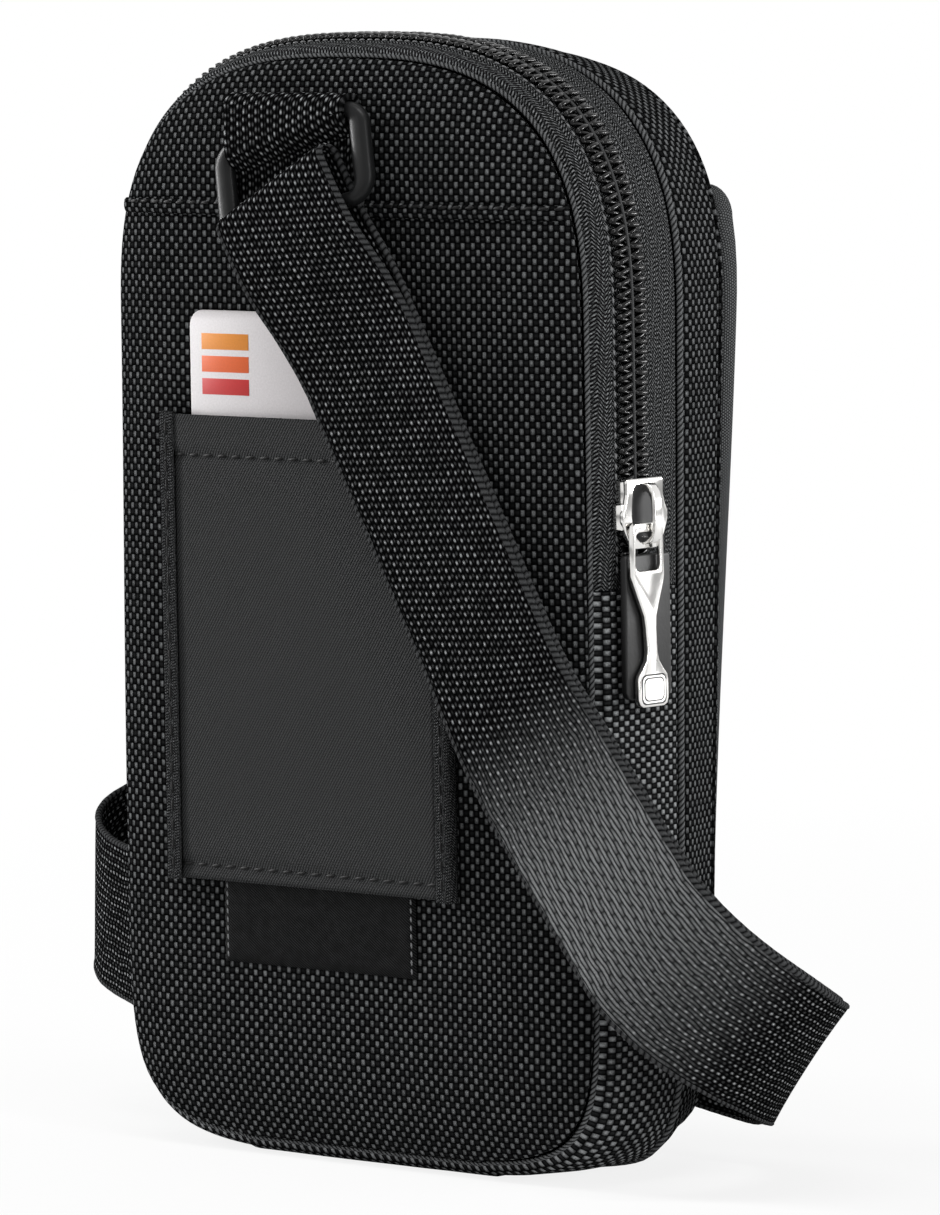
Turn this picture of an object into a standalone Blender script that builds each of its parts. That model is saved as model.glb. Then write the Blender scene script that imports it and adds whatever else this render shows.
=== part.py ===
"""Small upright sling bag with a card pocket, a side zip and a wide webbing strap.

Metres, +Z up. The face with the card pocket looks toward -Y, the bag stands on its flat bottom
and its right side, with the zip slider, looks toward +X.
"""

import math

import bmesh
import bpy
from mathutils import Matrix, Vector

for old in list(bpy.data.objects):
    bpy.data.objects.remove(old)

MM = 0.001
GAP = 0.3

# Body outline, seen from the front: two half superellipses joined by straight sides.
HALF_WIDTH = 58.5
HEIGHT = 204.0
TOP_RISE = 49.7
TOP_POWER = 2.73
BOTTOM_RISE = 42.7
BOTTOM_POWER = 4.92
FLAT_BOTTOM = 0.35
STEPS_ROUND = 72

# Depth, from the seam of the face to the seam of the rear wall, thinner toward the bottom.
DEPTH = 39.0
STRAIGHT_DEPTH = 14.5
TAPER = 0.356
CROWN = 2.1
GROOVE_AT = 23.8

FABRIC = 1.2
LINING = 0.5
INNER_GAP = 0.65
FACE_PUFF = 4.0
REAR_START = DEPTH + GAP

ZIP_END_Z = 107.0
ZIP_MIDDLE = 8.9
COIL_PITCH = 1.86
COIL_WIDTH = 3.1
COIL_HEIGHT = 1.7
COIL_GAP = 1.5
TAPE = 0.7

SLIDER_Z = 121.0
SLIDER_LENGTH = 12.8
SLIDER_WIDTH = 12.4

WEBBING = 1.2
WEBBING_WIDTH = 30.0
YOKE_Z = 175.4

bag = bpy.data.collections.new("sling_bag")
bpy.context.scene.collection.children.link(bag)
cutters = bpy.data.collections.new("sling_bag_cutters")
cutters.hide_render = True
bpy.context.scene.collection.children.link(cutters)


def paint(name, colour, roughness, metallic=0.0):
    material = bpy.data.materials.new(name)
    material.use_nodes = True
    shader = material.node_tree.nodes["Principled BSDF"]
    shader.inputs["Base Color"].default_value = (*colour, 1.0)
    shader.inputs["Roughness"].default_value = roughness
    shader.inputs["Metallic"].default_value = metallic
    return material


def add_mesh(name, shape, material, smooth=True):
    """Puts a bmesh in millimetres into the scene as an object in metres."""
    bmesh.ops.scale(shape, vec=(MM, MM, MM), verts=shape.verts)
    bmesh.ops.recalc_face_normals(shape, faces=shape.faces)
    mesh = bpy.data.meshes.new(name)
    shape.to_mesh(mesh)
    shape.free()
    for face in mesh.polygons:
        face.use_smooth = smooth
    mesh.materials.append(material)
    made = bpy.data.objects.new(name, mesh)
    bag.objects.link(made)
    return made


def loft(name, rings, material, wrap=False, smooth=True):
    """Joins equal rings of points into one closed solid, with flat caps unless it wraps round."""
    shape = bmesh.new()
    rows = [[shape.verts.new(point) for point in ring] for ring in rings]
    pairs = list(zip(rows, rows[1:]))
    if wrap:
        pairs.append((rows[-1], rows[0]))
    for row, after in pairs:
        count = len(row)
        for i in range(count):
            j = (i + 1) % count
            shape.faces.new((row[i], row[j], after[j], after[i]))
    if not wrap:
        shape.faces.new(rows[0])
        shape.faces.new(rows[-1][::-1])
    return add_mesh(name, shape, material, smooth)


def box(name, low, high, material, edge=0.0):
    shape = bmesh.new()
    bmesh.ops.create_cube(shape, size=1.0)
    size = [b - a for a, b in zip(low, high)]
    bmesh.ops.scale(shape, vec=size, verts=shape.verts)
    middle = [(a + b) / 2 for a, b in zip(low, high)]
    bmesh.ops.translate(shape, vec=middle, verts=shape.verts)
    if edge:
        bmesh.ops.bevel(
            shape, geom=shape.edges[:], offset=edge, segments=2, profile=0.5, affect="EDGES"
        )
    return add_mesh(name, shape, material, smooth=False)


def smooth_step(value):
    value = min(max(value, 0.0), 1.0)
    return value * value * (3 - 2 * value)


# The outline as a dense loop from the middle of the bottom, up the right side and round.
def quarter(rise, power, count):
    points = []
    for i in range(count + 1):
        angle = math.pi / 2 * i / count
        across = HALF_WIDTH * math.sin(angle) ** (2 / power)
        up = rise * math.cos(angle) ** (2 / power)
        points.append((across, up))
    return points


right_half = [(x, BOTTOM_RISE - z) for x, z in quarter(BOTTOM_RISE, BOTTOM_POWER, 400)]
right_half = [(x, 0.0 if z < FLAT_BOTTOM else z) for x, z in right_half]
right_half += [
    (x, HEIGHT - TOP_RISE + z) for x, z in reversed(quarter(TOP_RISE, TOP_POWER, 400))
]
dense = right_half + [(-x, z) for x, z in reversed(right_half[1:-1])]
lengths = [0.0]
for here, there in zip(dense, dense[1:] + dense[:1]):
    lengths.append(lengths[-1] + math.dist(here, there))
ROUND = lengths[-1]


def on_outline(along):
    """Point and outward normal of the outline at a distance from the middle of the bottom."""
    along %= ROUND

    def place(distance):
        distance %= ROUND
        low, high = 0, len(dense)
        while high - low > 1:
            middle = (low + high) // 2
            if lengths[middle] <= distance:
                low = middle
            else:
                high = middle
        here, there = dense[low], dense[(low + 1) % len(dense)]
        span = lengths[low + 1] - lengths[low]
        share = (distance - lengths[low]) / span if span > 1e-9 else 0.0
        return (
            here[0] + (there[0] - here[0]) * share,
            here[1] + (there[1] - here[1]) * share,
        )

    before, after = place(along - 1.5), place(along + 1.5)
    dx, dz = after[0] - before[0], after[1] - before[1]
    size = math.hypot(dx, dz)
    return place(along), (dz / size, -dx / size)


def length_to(height):
    """Distance along the outline from the middle of the bottom to a height on the right side."""
    for i, (x, z) in enumerate(dense):
        if x > 0 and z >= height:
            below = dense[i - 1][1]
            share = (height - below) / (z - below)
            return lengths[i - 1] + share * (lengths[i] - lengths[i - 1])
    return ROUND / 2


def depth_at(depth, height):
    """Distance behind the seam of the face. The rear part tapers toward the bottom."""
    if depth <= STRAIGHT_DEPTH:
        return depth
    squeeze = 1 - TAPER * (1 - height / HEIGHT)
    inside = min(depth, DEPTH)
    return STRAIGHT_DEPTH + (inside - STRAIGHT_DEPTH) * squeeze + max(depth - DEPTH, 0.0)


def crown_at(depth, height):
    """How far the gusset swells outward. The seam of the rear band lies in a shallow groove,
    which runs out at the bottom, where the gusset is flat and stands on the ground."""
    if depth <= 0 or depth >= DEPTH:
        return 0.0
    swell = math.sin(math.pi / 2 * min(depth / 4.0, 1.0))
    swell *= smooth_step((DEPTH - depth) / 14)
    dip = 0.45 * math.exp(-(((depth - GROOVE_AT) / 1.3) ** 2))
    return max(CROWN * swell - dip * smooth_step((height - 2) / 28), 0.0)


def rim(inset, depth, count=STEPS_ROUND):
    """One ring of points inside the outline at a depth."""
    ring = []
    for i in range(count):
        (x, z), (nx, nz) = on_outline(ROUND * i / count)
        x, z = x - nx * inset, z - nz * inset
        ring.append((x, depth_at(depth, z), z))
    return ring


def stack(name, profile, material, wrap=False, count=STEPS_ROUND):
    """A panel or hoop that follows the outline: profile pairs are inset and depth."""
    rings = [rim(inset, depth, count) for inset, depth in profile]
    return loft(name, rings, material, wrap)


def along_outline(name, section, start, end, steps, material, closed=False):
    """A strip that runs along the outline. Section pairs are depth and offset outward."""
    rings = []
    total = steps if closed else steps + 1
    for i in range(total):
        (x, z), (nx, nz) = on_outline(start + (end - start) * i / steps)
        ring = []
        for depth, offset in section:
            out = offset + crown_at(depth, z)
            px, pz = x + nx * out, z + nz * out
            ring.append((px, depth_at(depth, z), max(pz, offset if offset > 0 else pz)))
        rings.append(ring)
    return loft(name, rings, material, wrap=closed)


def strip_section(depths, top, thickness, soften=0.35):
    """Closed section of a flat strip with slightly rounded edges."""
    outer = []
    for i, depth in enumerate(depths):
        drop = soften if i in (0, len(depths) - 1) else 0.0
        outer.append((depth, top - drop))
    inner = [(depth, top - thickness) for depth in reversed(depths)]
    return outer + inner


ballistic = paint("ballistic_nylon", (0.020, 0.021, 0.022), 0.72)
twill = paint("pocket_twill", (0.036, 0.039, 0.040), 0.62)
tape_cloth = paint("herringbone_tape", (0.022, 0.023, 0.024), 0.70)
coil_nylon = paint("coil_nylon", (0.012, 0.012, 0.013), 0.32)
nickel = paint("nickel", (0.78, 0.78, 0.77), 0.16, 1.0)
rubber = paint("black_rubber", (0.014, 0.014, 0.015), 0.55)
plastic = paint("ring_plastic", (0.045, 0.047, 0.049), 0.42)
web_cloth = paint("strap_webbing", (0.040, 0.041, 0.042), 0.66)
lining_cloth = paint("lining_cloth", (0.050, 0.052, 0.055), 0.75)
foam_white = paint("foam", (0.22, 0.22, 0.22), 0.9)
satin = paint("label_satin", (0.012, 0.012, 0.012), 0.45)
card_plastic = paint("card_plastic", (0.50, 0.47, 0.48), 0.38)
smooth_panel = paint("padded_panel_cloth", (0.024, 0.025, 0.026), 0.66)

# Face: a pillowy ballistic panel in two pieces, with foam and a lining behind it.
plateau = -FACE_PUFF
skin = 0.9
face_profile = [
    (12.8, plateau),
    (11.0, plateau),
    (8.0, plateau + 0.15),
    (5.0, plateau + 0.6),
    (2.6, plateau + 1.3),
    (1.0, plateau + 2.2),
    (0.5, plateau + 3.0),
    (FABRIC + GAP, -GAP),
    (FABRIC + GAP, 0.9),
    (FABRIC + GAP + 0.8, 0.9),
    (2.9, plateau + 3.8),
    (3.8, plateau + 2.8),
    (5.5, plateau + 1.95),
    (8.3, plateau + skin + 0.35),
    (11.0, plateau + skin),
    (12.8, plateau + skin),
]


def cut_by_height(made, low, high):
    """Keeps what lies between two heights, with a cutter box."""
    cutter_shape = bmesh.new()
    bmesh.ops.create_cube(cutter_shape, size=1.0)
    bmesh.ops.scale(cutter_shape, vec=(0.3, 0.3, (high - low) * MM), verts=cutter_shape.verts)
    middle = (0, 0, (low + high) / 2 * MM)
    bmesh.ops.translate(cutter_shape, vec=middle, verts=cutter_shape.verts)
    mesh = bpy.data.meshes.new(made.name + "_cutter")
    cutter_shape.to_mesh(mesh)
    cutter_shape.free()
    cutter = bpy.data.objects.new(made.name + "_cutter", mesh)
    cutter.display_type = "WIRE"
    cutter.hide_render = True
    cutters.objects.link(cutter)
    keep = made.modifiers.new("keep", "BOOLEAN")
    keep.operation = "INTERSECT"
    keep.solver = "EXACT"
    keep.object = cutter


face_panel = stack("face_panel", face_profile, ballistic)
cut_by_height(face_panel, -20.0, YOKE_Z - GAP / 2)
face_yoke = stack("face_yoke", face_profile, ballistic)
cut_by_height(face_yoke, YOKE_Z + GAP / 2, HEIGHT + 20)

foam_front = plateau + skin + GAP
stack(
    "face_foam",
    [
        (12.8, foam_front),
        (11.0, foam_front),
        (8.6, foam_front + 0.4),
        (6.0, foam_front + 1.2),
        (4.4, foam_front + 2.2),
        (3.8, 0.9),
        (12.8, 0.9),
    ],
    foam_white,
    count=60,
)
stack(
    "face_lining",
    [(12.8, 1.2), (FABRIC + INNER_GAP, 1.2), (FABRIC + INNER_GAP, 1.2 + LINING), (12.8, 1.2 + LINING)],
    lining_cloth,
    count=60,
)
stack(
    "front_seam_binding",
    [(FABRIC + INNER_GAP, 2.0), (7.5, 2.0), (7.5, 3.4), (FABRIC + INNER_GAP, 3.4)],
    tape_cloth,
    wrap=True,
    count=60,
)

# Folded ridge of the yoke seam. It follows the crown of the face from edge to edge.
RIDGE_ENDS = 52.5
ridge_low = YOKE_Z - 0.9
yoke_reach = max(x for x, z in dense if z >= YOKE_Z)


def front_of(inset):
    """Height of the face's cloth at a distance inside its seam, by its section."""
    outer = face_profile[:6]
    for (near, low), (far, high) in zip(outer, outer[1:]):
        if inset >= far:
            return low + (high - low) * min(max((near - inset) / (near - far), 0.0), 1.0)
    return outer[-1][1]


ridge_rings = []
for share in (-1.0, -0.96, -0.9, -0.82, -0.4, 0.0, 0.4, 0.82, 0.9, 0.96, 1.0):
    x = share * RIDGE_ENDS
    y = front_of(yoke_reach - abs(x))
    back, front = y - GAP, y - GAP - 0.45
    ridge_rings.append(
        [
            (x, back, ridge_low),
            (x, front + 0.15, ridge_low),
            (x, front, ridge_low + 0.4),
            (x, front, ridge_low + 1.9),
            (x, front + 0.15, ridge_low + 2.3),
            (x, back, ridge_low + 2.3),
        ]
    )
loft("yoke_seam_fold", ridge_rings, ballistic)

# Gusset: the lower wall in front, and a rear band that runs all the way round.
zip_right = length_to(ZIP_END_Z)
along_outline(
    "gusset_lower",
    strip_section([0.0, 1.0, 2.2, 4.0, 14.5, 21.8, 22.8, GROOVE_AT - GAP / 2], 0.0, FABRIC),
    -zip_right,
    zip_right,
    38,
    ballistic,
)
along_outline(
    "gusset_rear_band",
    strip_section([GROOVE_AT + GAP / 2, 25.0, 29.0, 34.0, 37.6, DEPTH], 0.0, FABRIC),
    0.0,
    ROUND,
    STEPS_ROUND,
    ballistic,
    closed=True,
)
along_outline(
    "gusset_lining_lower",
    [
        (3.7, -FABRIC - INNER_GAP),
        (14.5, -FABRIC - INNER_GAP),
        (24.0, -FABRIC - INNER_GAP),
        (33.7, -FABRIC - INNER_GAP),
        (33.7, -FABRIC - INNER_GAP - LINING),
        (24.0, -FABRIC - INNER_GAP - LINING),
        (14.5, -FABRIC - INNER_GAP - LINING),
        (3.7, -FABRIC - INNER_GAP - LINING),
    ],
    -zip_right,
    zip_right,
    38,
    lining_cloth,
)
along_outline(
    "gusset_lining_upper",
    [
        (24.3, -FABRIC - INNER_GAP),
        (29.0, -FABRIC - INNER_GAP),
        (33.7, -FABRIC - INNER_GAP),
        (33.7, -FABRIC - INNER_GAP - LINING),
        (29.0, -FABRIC - INNER_GAP - LINING),
        (24.3, -FABRIC - INNER_GAP - LINING),
    ],
    zip_right + GAP,
    ROUND - zip_right - GAP,
    34,
    lining_cloth,
)

# Zip: two woven tapes, two nylon coils and an end stop at each side.
zip_left = ROUND - zip_right
coil_inner = COIL_GAP / 2
along_outline(
    "zip_tape_front",
    strip_section([0.0, 1.0, 2.2, 4.0, ZIP_MIDDLE - coil_inner], -0.1, TAPE, 0.2),
    zip_right + GAP,
    zip_left - GAP,
    44,
    tape_cloth,
)
along_outline(
    "zip_tape_rear",
    strip_section(
        [ZIP_MIDDLE + coil_inner, 13.2, 17.5, 21.5, GROOVE_AT - GAP / 2], -0.1, TAPE, 0.2
    ),
    zip_right + GAP,
    zip_left - GAP,
    44,
    tape_cloth,
)
coil_start = zip_right + 3.0
coil_end = zip_left - 3.0
teeth = int((coil_end - coil_start) / COIL_PITCH)
coil_bottom = -0.1 + 0.25


def coil_row(name, middle):
    rings = []
    for i in range(2 * teeth + 1):
        (x, z), (nx, nz) = on_outline(coil_start + i * COIL_PITCH / 2)
        size = 1.0 if i % 2 else 0.74
        half = COIL_WIDTH / 2 * size
        low = coil_bottom + crown_at(middle, z)
        high = low + COIL_HEIGHT * size
        ring = []
        for side, out in ((-1, low), (-1, high), (1, high), (1, low)):
            shift = half if out == low else half * 0.62
            ring.append((x + nx * out, middle + side * shift, z + nz * out))
        rings.append(ring)
    return loft(name, rings, coil_nylon, smooth=False)


coil_row("zip_coil_front", ZIP_MIDDLE - coil_inner - COIL_WIDTH / 2)
coil_row("zip_coil_rear", ZIP_MIDDLE + coil_inner + COIL_WIDTH / 2)

for stop_name, stop_at in (
    ("zip_end_stop_right", zip_right + 1.5),
    ("zip_end_stop_left", zip_left - 1.5),
):
    (x, z), (nx, nz) = on_outline(stop_at)
    low = coil_bottom + crown_at(ZIP_MIDDLE, z)
    side = 1 if nx > 0 else -1
    xs = sorted((x + nx * low, x + nx * (low + 1.8)))
    box(
        stop_name,
        (xs[0], ZIP_MIDDLE - 3.4, z - 1.0),
        (xs[1], ZIP_MIDDLE + 3.4, z + 1.0),
        coil_nylon,
        0.3,
    )

# Slider: two plates joined by a post between the coils, with side flanges and a pull bridge.
tape_top = HALF_WIDTH + CROWN - 0.1
tape_back = tape_top - TAPE
coil_top = tape_top + 0.25 + COIL_HEIGHT
plate_low = coil_top + 0.3
plate_high = plate_low + 1.1
slider_low = SLIDER_Z - SLIDER_LENGTH / 2
slider_high = SLIDER_Z + SLIDER_LENGTH / 2
slider_half = SLIDER_WIDTH / 2


def slider_plate(shape, near, far):
    """Shield-shaped plate: wide in the middle, narrower at both ends."""
    outline = [
        (slider_half - 1.1, slider_high),
        (slider_half - 1.1, SLIDER_Z + 2.6),
        (slider_half, SLIDER_Z + 0.2),
        (slider_half - 0.9, SLIDER_Z - 3.2),
        (slider_half - 2.6, slider_low),
    ]
    points = outline + [(-y, z) for y, z in reversed(outline)]
    rows = [[shape.verts.new((x, ZIP_MIDDLE + y, z)) for y, z in points] for x in (near, far)]
    count = len(points)
    for i in range(count):
        j = (i + 1) % count
        shape.faces.new((rows[0][i], rows[0][j], rows[1][j], rows[1][i]))
    shape.faces.new(rows[0])
    shape.faces.new(rows[1][::-1])


def block(shape, low, high):
    made = bmesh.ops.create_cube(shape, size=1.0)["verts"]
    bmesh.ops.scale(shape, vec=[b - a for a, b in zip(low, high)], verts=made)
    bmesh.ops.translate(shape, vec=[(a + b) / 2 for a, b in zip(low, high)], verts=made)


def as_cutter(name, shape):
    """A helper mesh for a boolean, kept out of the render."""
    bmesh.ops.scale(shape, vec=(MM, MM, MM), verts=shape.verts)
    bmesh.ops.recalc_face_normals(shape, faces=shape.faces)
    mesh = bpy.data.meshes.new(name)
    shape.to_mesh(mesh)
    shape.free()
    made = bpy.data.objects.new(name, mesh)
    made.display_type = "WIRE"
    made.hide_render = True
    cutters.objects.link(made)
    return made


def join(made, other, operation="UNION"):
    step = made.modifiers.new(operation.lower(), "BOOLEAN")
    step.operation = operation
    step.solver = "EXACT"
    step.object = other


def hang_on(made, pivot):
    """Puts the object's origin on its joint without moving its mesh."""
    place = Vector(pivot) * MM
    made.data.transform(Matrix.Translation(-place))
    made.location = place


shape = bmesh.new()
slider_plate(shape, plate_low, plate_high)
slider = add_mesh("zip_slider", shape, nickel, smooth=False)
shape = bmesh.new()
slider_plate(shape, tape_back - 0.3 - 1.0, tape_back - 0.3)
join(slider, as_cutter("slider_lower_plate", shape))
shape = bmesh.new()
block(
    shape,
    (tape_back - 0.8, ZIP_MIDDLE - 0.4, SLIDER_Z + 1.5),
    (plate_low + 0.5, ZIP_MIDDLE + 0.4, slider_high - 0.6),
)
join(slider, as_cutter("slider_post", shape))
for side in (-1, 1):
    shape = bmesh.new()
    inner = ZIP_MIDDLE + side * (coil_inner + COIL_WIDTH + 0.3)
    outer = ZIP_MIDDLE + side * (slider_half - 1.15)
    block(
        shape,
        (tape_top + 0.3, min(inner, outer), SLIDER_Z - 2.8),
        (plate_low + 0.5, max(inner, outer), slider_high - 0.4),
    )
    join(slider, as_cutter(f"slider_flange_{'front' if side < 0 else 'rear'}", shape))

# The bridge is a low arch over the upper plate, on its middle line.
bridge_height = 3.1
bridge_low = SLIDER_Z - 5.6
bridge_high = SLIDER_Z + 5.6
rings = []
arch = [
    (plate_high + GAP, bridge_high),
    (plate_high + 1.9, bridge_high - 0.3),
    (plate_high + 2.7, bridge_high - 1.6),
    (plate_high + bridge_height, bridge_high - 3.4),
    (plate_high + bridge_height, bridge_low + 2.6),
    (plate_high + 2.7, bridge_low + 1.0),
    (plate_high + 1.9, bridge_low + 0.3),
    (plate_high + GAP, bridge_low),
]
inner_arch = [
    (plate_high + GAP, bridge_high - 1.5),
    (plate_high + 1.0, bridge_high - 1.6),
    (plate_high + 1.7, bridge_high - 2.4),
    (plate_high + bridge_height - 1.0, bridge_high - 3.8),
    (plate_high + bridge_height - 1.0, bridge_low + 2.9),
    (plate_high + 1.9, bridge_low + 1.8),
    (plate_high + 1.2, bridge_low + 1.3),
    (plate_high + GAP, bridge_low + 1.2),
]
half_bridge = 0.95
for (ox, oz), (ix, iz) in zip(arch, inner_arch):
    rings.append(
        [
            (ox, ZIP_MIDDLE - half_bridge, oz),
            (ox, ZIP_MIDDLE + half_bridge, oz),
            (ix, ZIP_MIDDLE + half_bridge, iz),
            (ix, ZIP_MIDDLE - half_bridge, iz),
        ]
    )
bridge = loft("zip_slider_bridge", rings, nickel, smooth=False)

# Pull: a flat nickel piece with an eye, a thin neck and a square pad, backed by a rubber strip.
pull_thick = 1.1
hinge_x = plate_high + 1.15
hinge_z = bridge_low + 3.1
pull_x = (hinge_x - pull_thick / 2, hinge_x + pull_thick / 2)
pull_outline = [
    (3.6, 0.6),
    (3.85, -1.0),
    (3.85, -7.8),
    (1.45, -14.6),
    (1.3, -22.0),
    (3.9, -26.0),
    (3.9, -30.6),
    (3.3, -31.2),
]
shape = bmesh.new()
points = pull_outline + [(-y, z) for y, z in reversed(pull_outline)]
rows = [
    [shape.verts.new((x, ZIP_MIDDLE + y, hinge_z + z)) for y, z in points] for x in pull_x
]
for i in range(len(points)):
    j = (i + 1) % len(points)
    shape.faces.new((rows[0][i], rows[0][j], rows[1][j], rows[1][i]))
shape.faces.new(rows[0])
shape.faces.new(rows[1][::-1])
pull = add_mesh("zip_pull", shape, nickel, smooth=False)
shape = bmesh.new()
block(
    shape,
    (hinge_x - 2, ZIP_MIDDLE - 2.35, hinge_z - 5.7),
    (hinge_x + 2, ZIP_MIDDLE + 2.35, hinge_z - 0.6),
)
join(pull, as_cutter("pull_eye", shape), "DIFFERENCE")
hang_on(pull, (hinge_x, ZIP_MIDDLE, hinge_z))
backing = box(
    "zip_pull_backing",
    (pull_x[0] - GAP - 1.4, ZIP_MIDDLE - 5.6, hinge_z - 31.0),
    (pull_x[0] - GAP, ZIP_MIDDLE + 5.6, slider_low - 0.9),
    rubber,
    0.4,
)
hang_on(backing, (hinge_x, ZIP_MIDDLE, hinge_z))

# Rear: outer wall, foam, lining, seam binding, and a padded panel that forms a slip pocket.
stack(
    "rear_wall",
    [
        (12.8, REAR_START + 1.2),
        (3.0, REAR_START + 1.2),
        (1.2, REAR_START + 0.8),
        (0.4, REAR_START),
        (12.8, REAR_START),
    ],
    ballistic,
    count=60,
)
INSIDE = FABRIC + INNER_GAP
foam_back = REAR_START - GAP
lining_back = foam_back - 2.5 - GAP
tape_behind = lining_back - LINING - GAP
stack(
    "rear_foam",
    [(12.8, foam_back), (INSIDE, foam_back), (INSIDE, foam_back - 2.5), (12.8, foam_back - 2.5)],
    foam_white,
    count=60,
)
stack(
    "rear_lining",
    [
        (12.8, lining_back),
        (INSIDE, lining_back),
        (INSIDE, lining_back - LINING),
        (12.8, lining_back - LINING),
    ],
    lining_cloth,
    count=60,
)
stack(
    "rear_seam_binding",
    [(INSIDE, tape_behind), (7.5, tape_behind), (7.5, tape_behind - 1.4), (INSIDE, tape_behind - 1.4)],
    tape_cloth,
    wrap=True,
    count=60,
)

SLEEVE_TOP = 120.0
PANEL_TOP = 178.0
PANEL_CORNER = 5.0
PANEL_INSET = 1.8


def cut_rim(inset, depth, top, corner, count=44):
    """Ring inside the outline, with a flat top edge and two small round corners."""
    reach = length_to(top - inset - corner)
    ring = []
    for i in range(count + 1):
        (x, z), (nx, nz) = on_outline(-reach + 2 * reach * i / count)
        x, z = x - nx * inset, z - nz * inset
        ring.append((x, z))
    edge = top - inset
    (left, right) = (ring[0], ring[-1])
    bend = edge - right[1]
    for i in range(1, 5):
        angle = math.pi / 2 * i / 4
        ring.append(
            (right[0] - bend * (1 - math.cos(angle)), right[1] + bend * math.sin(angle))
        )
    for i in range(4, 0, -1):
        angle = math.pi / 2 * i / 4
        ring.append(
            (left[0] + bend * (1 - math.cos(angle)), left[1] + bend * math.sin(angle))
        )
    return [(x, depth_at(depth, z), z) for x, z in ring]


def cut_stack(name, profile, top, corner, material):
    rings = [cut_rim(inset, depth, top, corner) for inset, depth in profile]
    return loft(name, rings, material)


cut_stack(
    "inner_sleeve",
    [(12.5, 35.4), (8.0, 35.4), (8.0, 34.9), (12.5, 34.9)],
    SLEEVE_TOP + 8.0,
    10.0,
    lining_cloth,
)
sleeve_y = depth_at(34.9, SLEEVE_TOP) - 0.55
box(
    "inner_sleeve_binding",
    (-44.0, sleeve_y - 0.5, SLEEVE_TOP - 3.6),
    (44.0, sleeve_y, SLEEVE_TOP - 0.2),
    tape_cloth,
)

panel_back = REAR_START + 1.2 + 0.4
cut_stack(
    "rear_pocket_lining",
    [
        (12.5, panel_back),
        (PANEL_INSET + 1.6, panel_back),
        (PANEL_INSET + 1.6, panel_back + 0.4),
        (12.5, panel_back + 0.4),
    ],
    PANEL_TOP + 1.6,
    PANEL_CORNER,
    lining_cloth,
)
cut_stack(
    "rear_pocket_foam",
    [
        (12.5, panel_back + 0.7),
        (PANEL_INSET + 1.6, panel_back + 0.7),
        (PANEL_INSET + 1.8, panel_back + 1.9),
        (PANEL_INSET + 3.4, panel_back + 2.7),
        (PANEL_INSET + 7.0, panel_back + 3.2),
        (12.5, panel_back + 3.2),
    ],
    PANEL_TOP + 1.6,
    PANEL_CORNER,
    foam_white,
)
cut_stack(
    "rear_pocket_panel",
    [
        (12.5, panel_back + 4.3),
        (PANEL_INSET + 7.0, panel_back + 4.3),
        (PANEL_INSET + 2.6, panel_back + 3.7),
        (PANEL_INSET + 0.6, panel_back + 2.4),
        (PANEL_INSET, panel_back + 1.0),
        (PANEL_INSET + 0.2, panel_back),
        (PANEL_INSET + 1.2, panel_back),
        (PANEL_INSET + 1.1, panel_back + 1.0),
        (PANEL_INSET + 1.5, panel_back + 2.1),
        (PANEL_INSET + 3.1, panel_back + 3.0),
        (PANEL_INSET + 7.0, panel_back + 3.5),
        (12.5, panel_back + 3.5),
    ],
    PANEL_TOP + PANEL_INSET,
    PANEL_CORNER,
    smooth_panel,
)

# Card pocket on the face: twill panel, folded hems, taped sides, the label and the card.
POCKET_LEFT = -42.7
POCKET_RIGHT = 29.2
POCKET_LOW = 49.7
POCKET_TOP = 136.7
POCKET_TAPE = 3.8
face_y = plateau - GAP
pocket_y = face_y - 1.8
box(
    "card_pocket",
    (POCKET_LEFT + POCKET_TAPE + GAP, pocket_y - 0.5, POCKET_LOW),
    (POCKET_RIGHT - POCKET_TAPE - GAP, pocket_y, POCKET_TOP),
    twill,
)
box(
    "card_pocket_top_hem",
    (POCKET_LEFT + POCKET_TAPE + GAP, pocket_y + GAP, POCKET_TOP - 7.6),
    (POCKET_RIGHT - POCKET_TAPE - GAP, pocket_y + GAP + 0.4, POCKET_TOP - 0.2),
    twill,
)
box(
    "card_pocket_bottom_hem",
    (POCKET_LEFT + POCKET_TAPE + GAP, pocket_y + GAP, POCKET_LOW + 0.2),
    (POCKET_RIGHT - POCKET_TAPE - GAP, face_y - 0.85, POCKET_LOW + 3.0),
    twill,
)
box(
    "card_pocket_tape_left",
    (POCKET_LEFT, pocket_y - 0.6, POCKET_LOW - 0.4),
    (POCKET_LEFT + POCKET_TAPE, face_y, POCKET_TOP + 0.4),
    tape_cloth,
    0.5,
)
box(
    "card_pocket_tape_right",
    (POCKET_RIGHT - POCKET_TAPE, pocket_y - 0.6, POCKET_LOW - 0.4),
    (POCKET_RIGHT, face_y, POCKET_TOP + 0.4),
    tape_cloth,
    0.5,
)
box("label", (-29.8, face_y - 0.5, 34.4), (18.4, face_y, POCKET_LOW + 2.6), satin)

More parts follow.
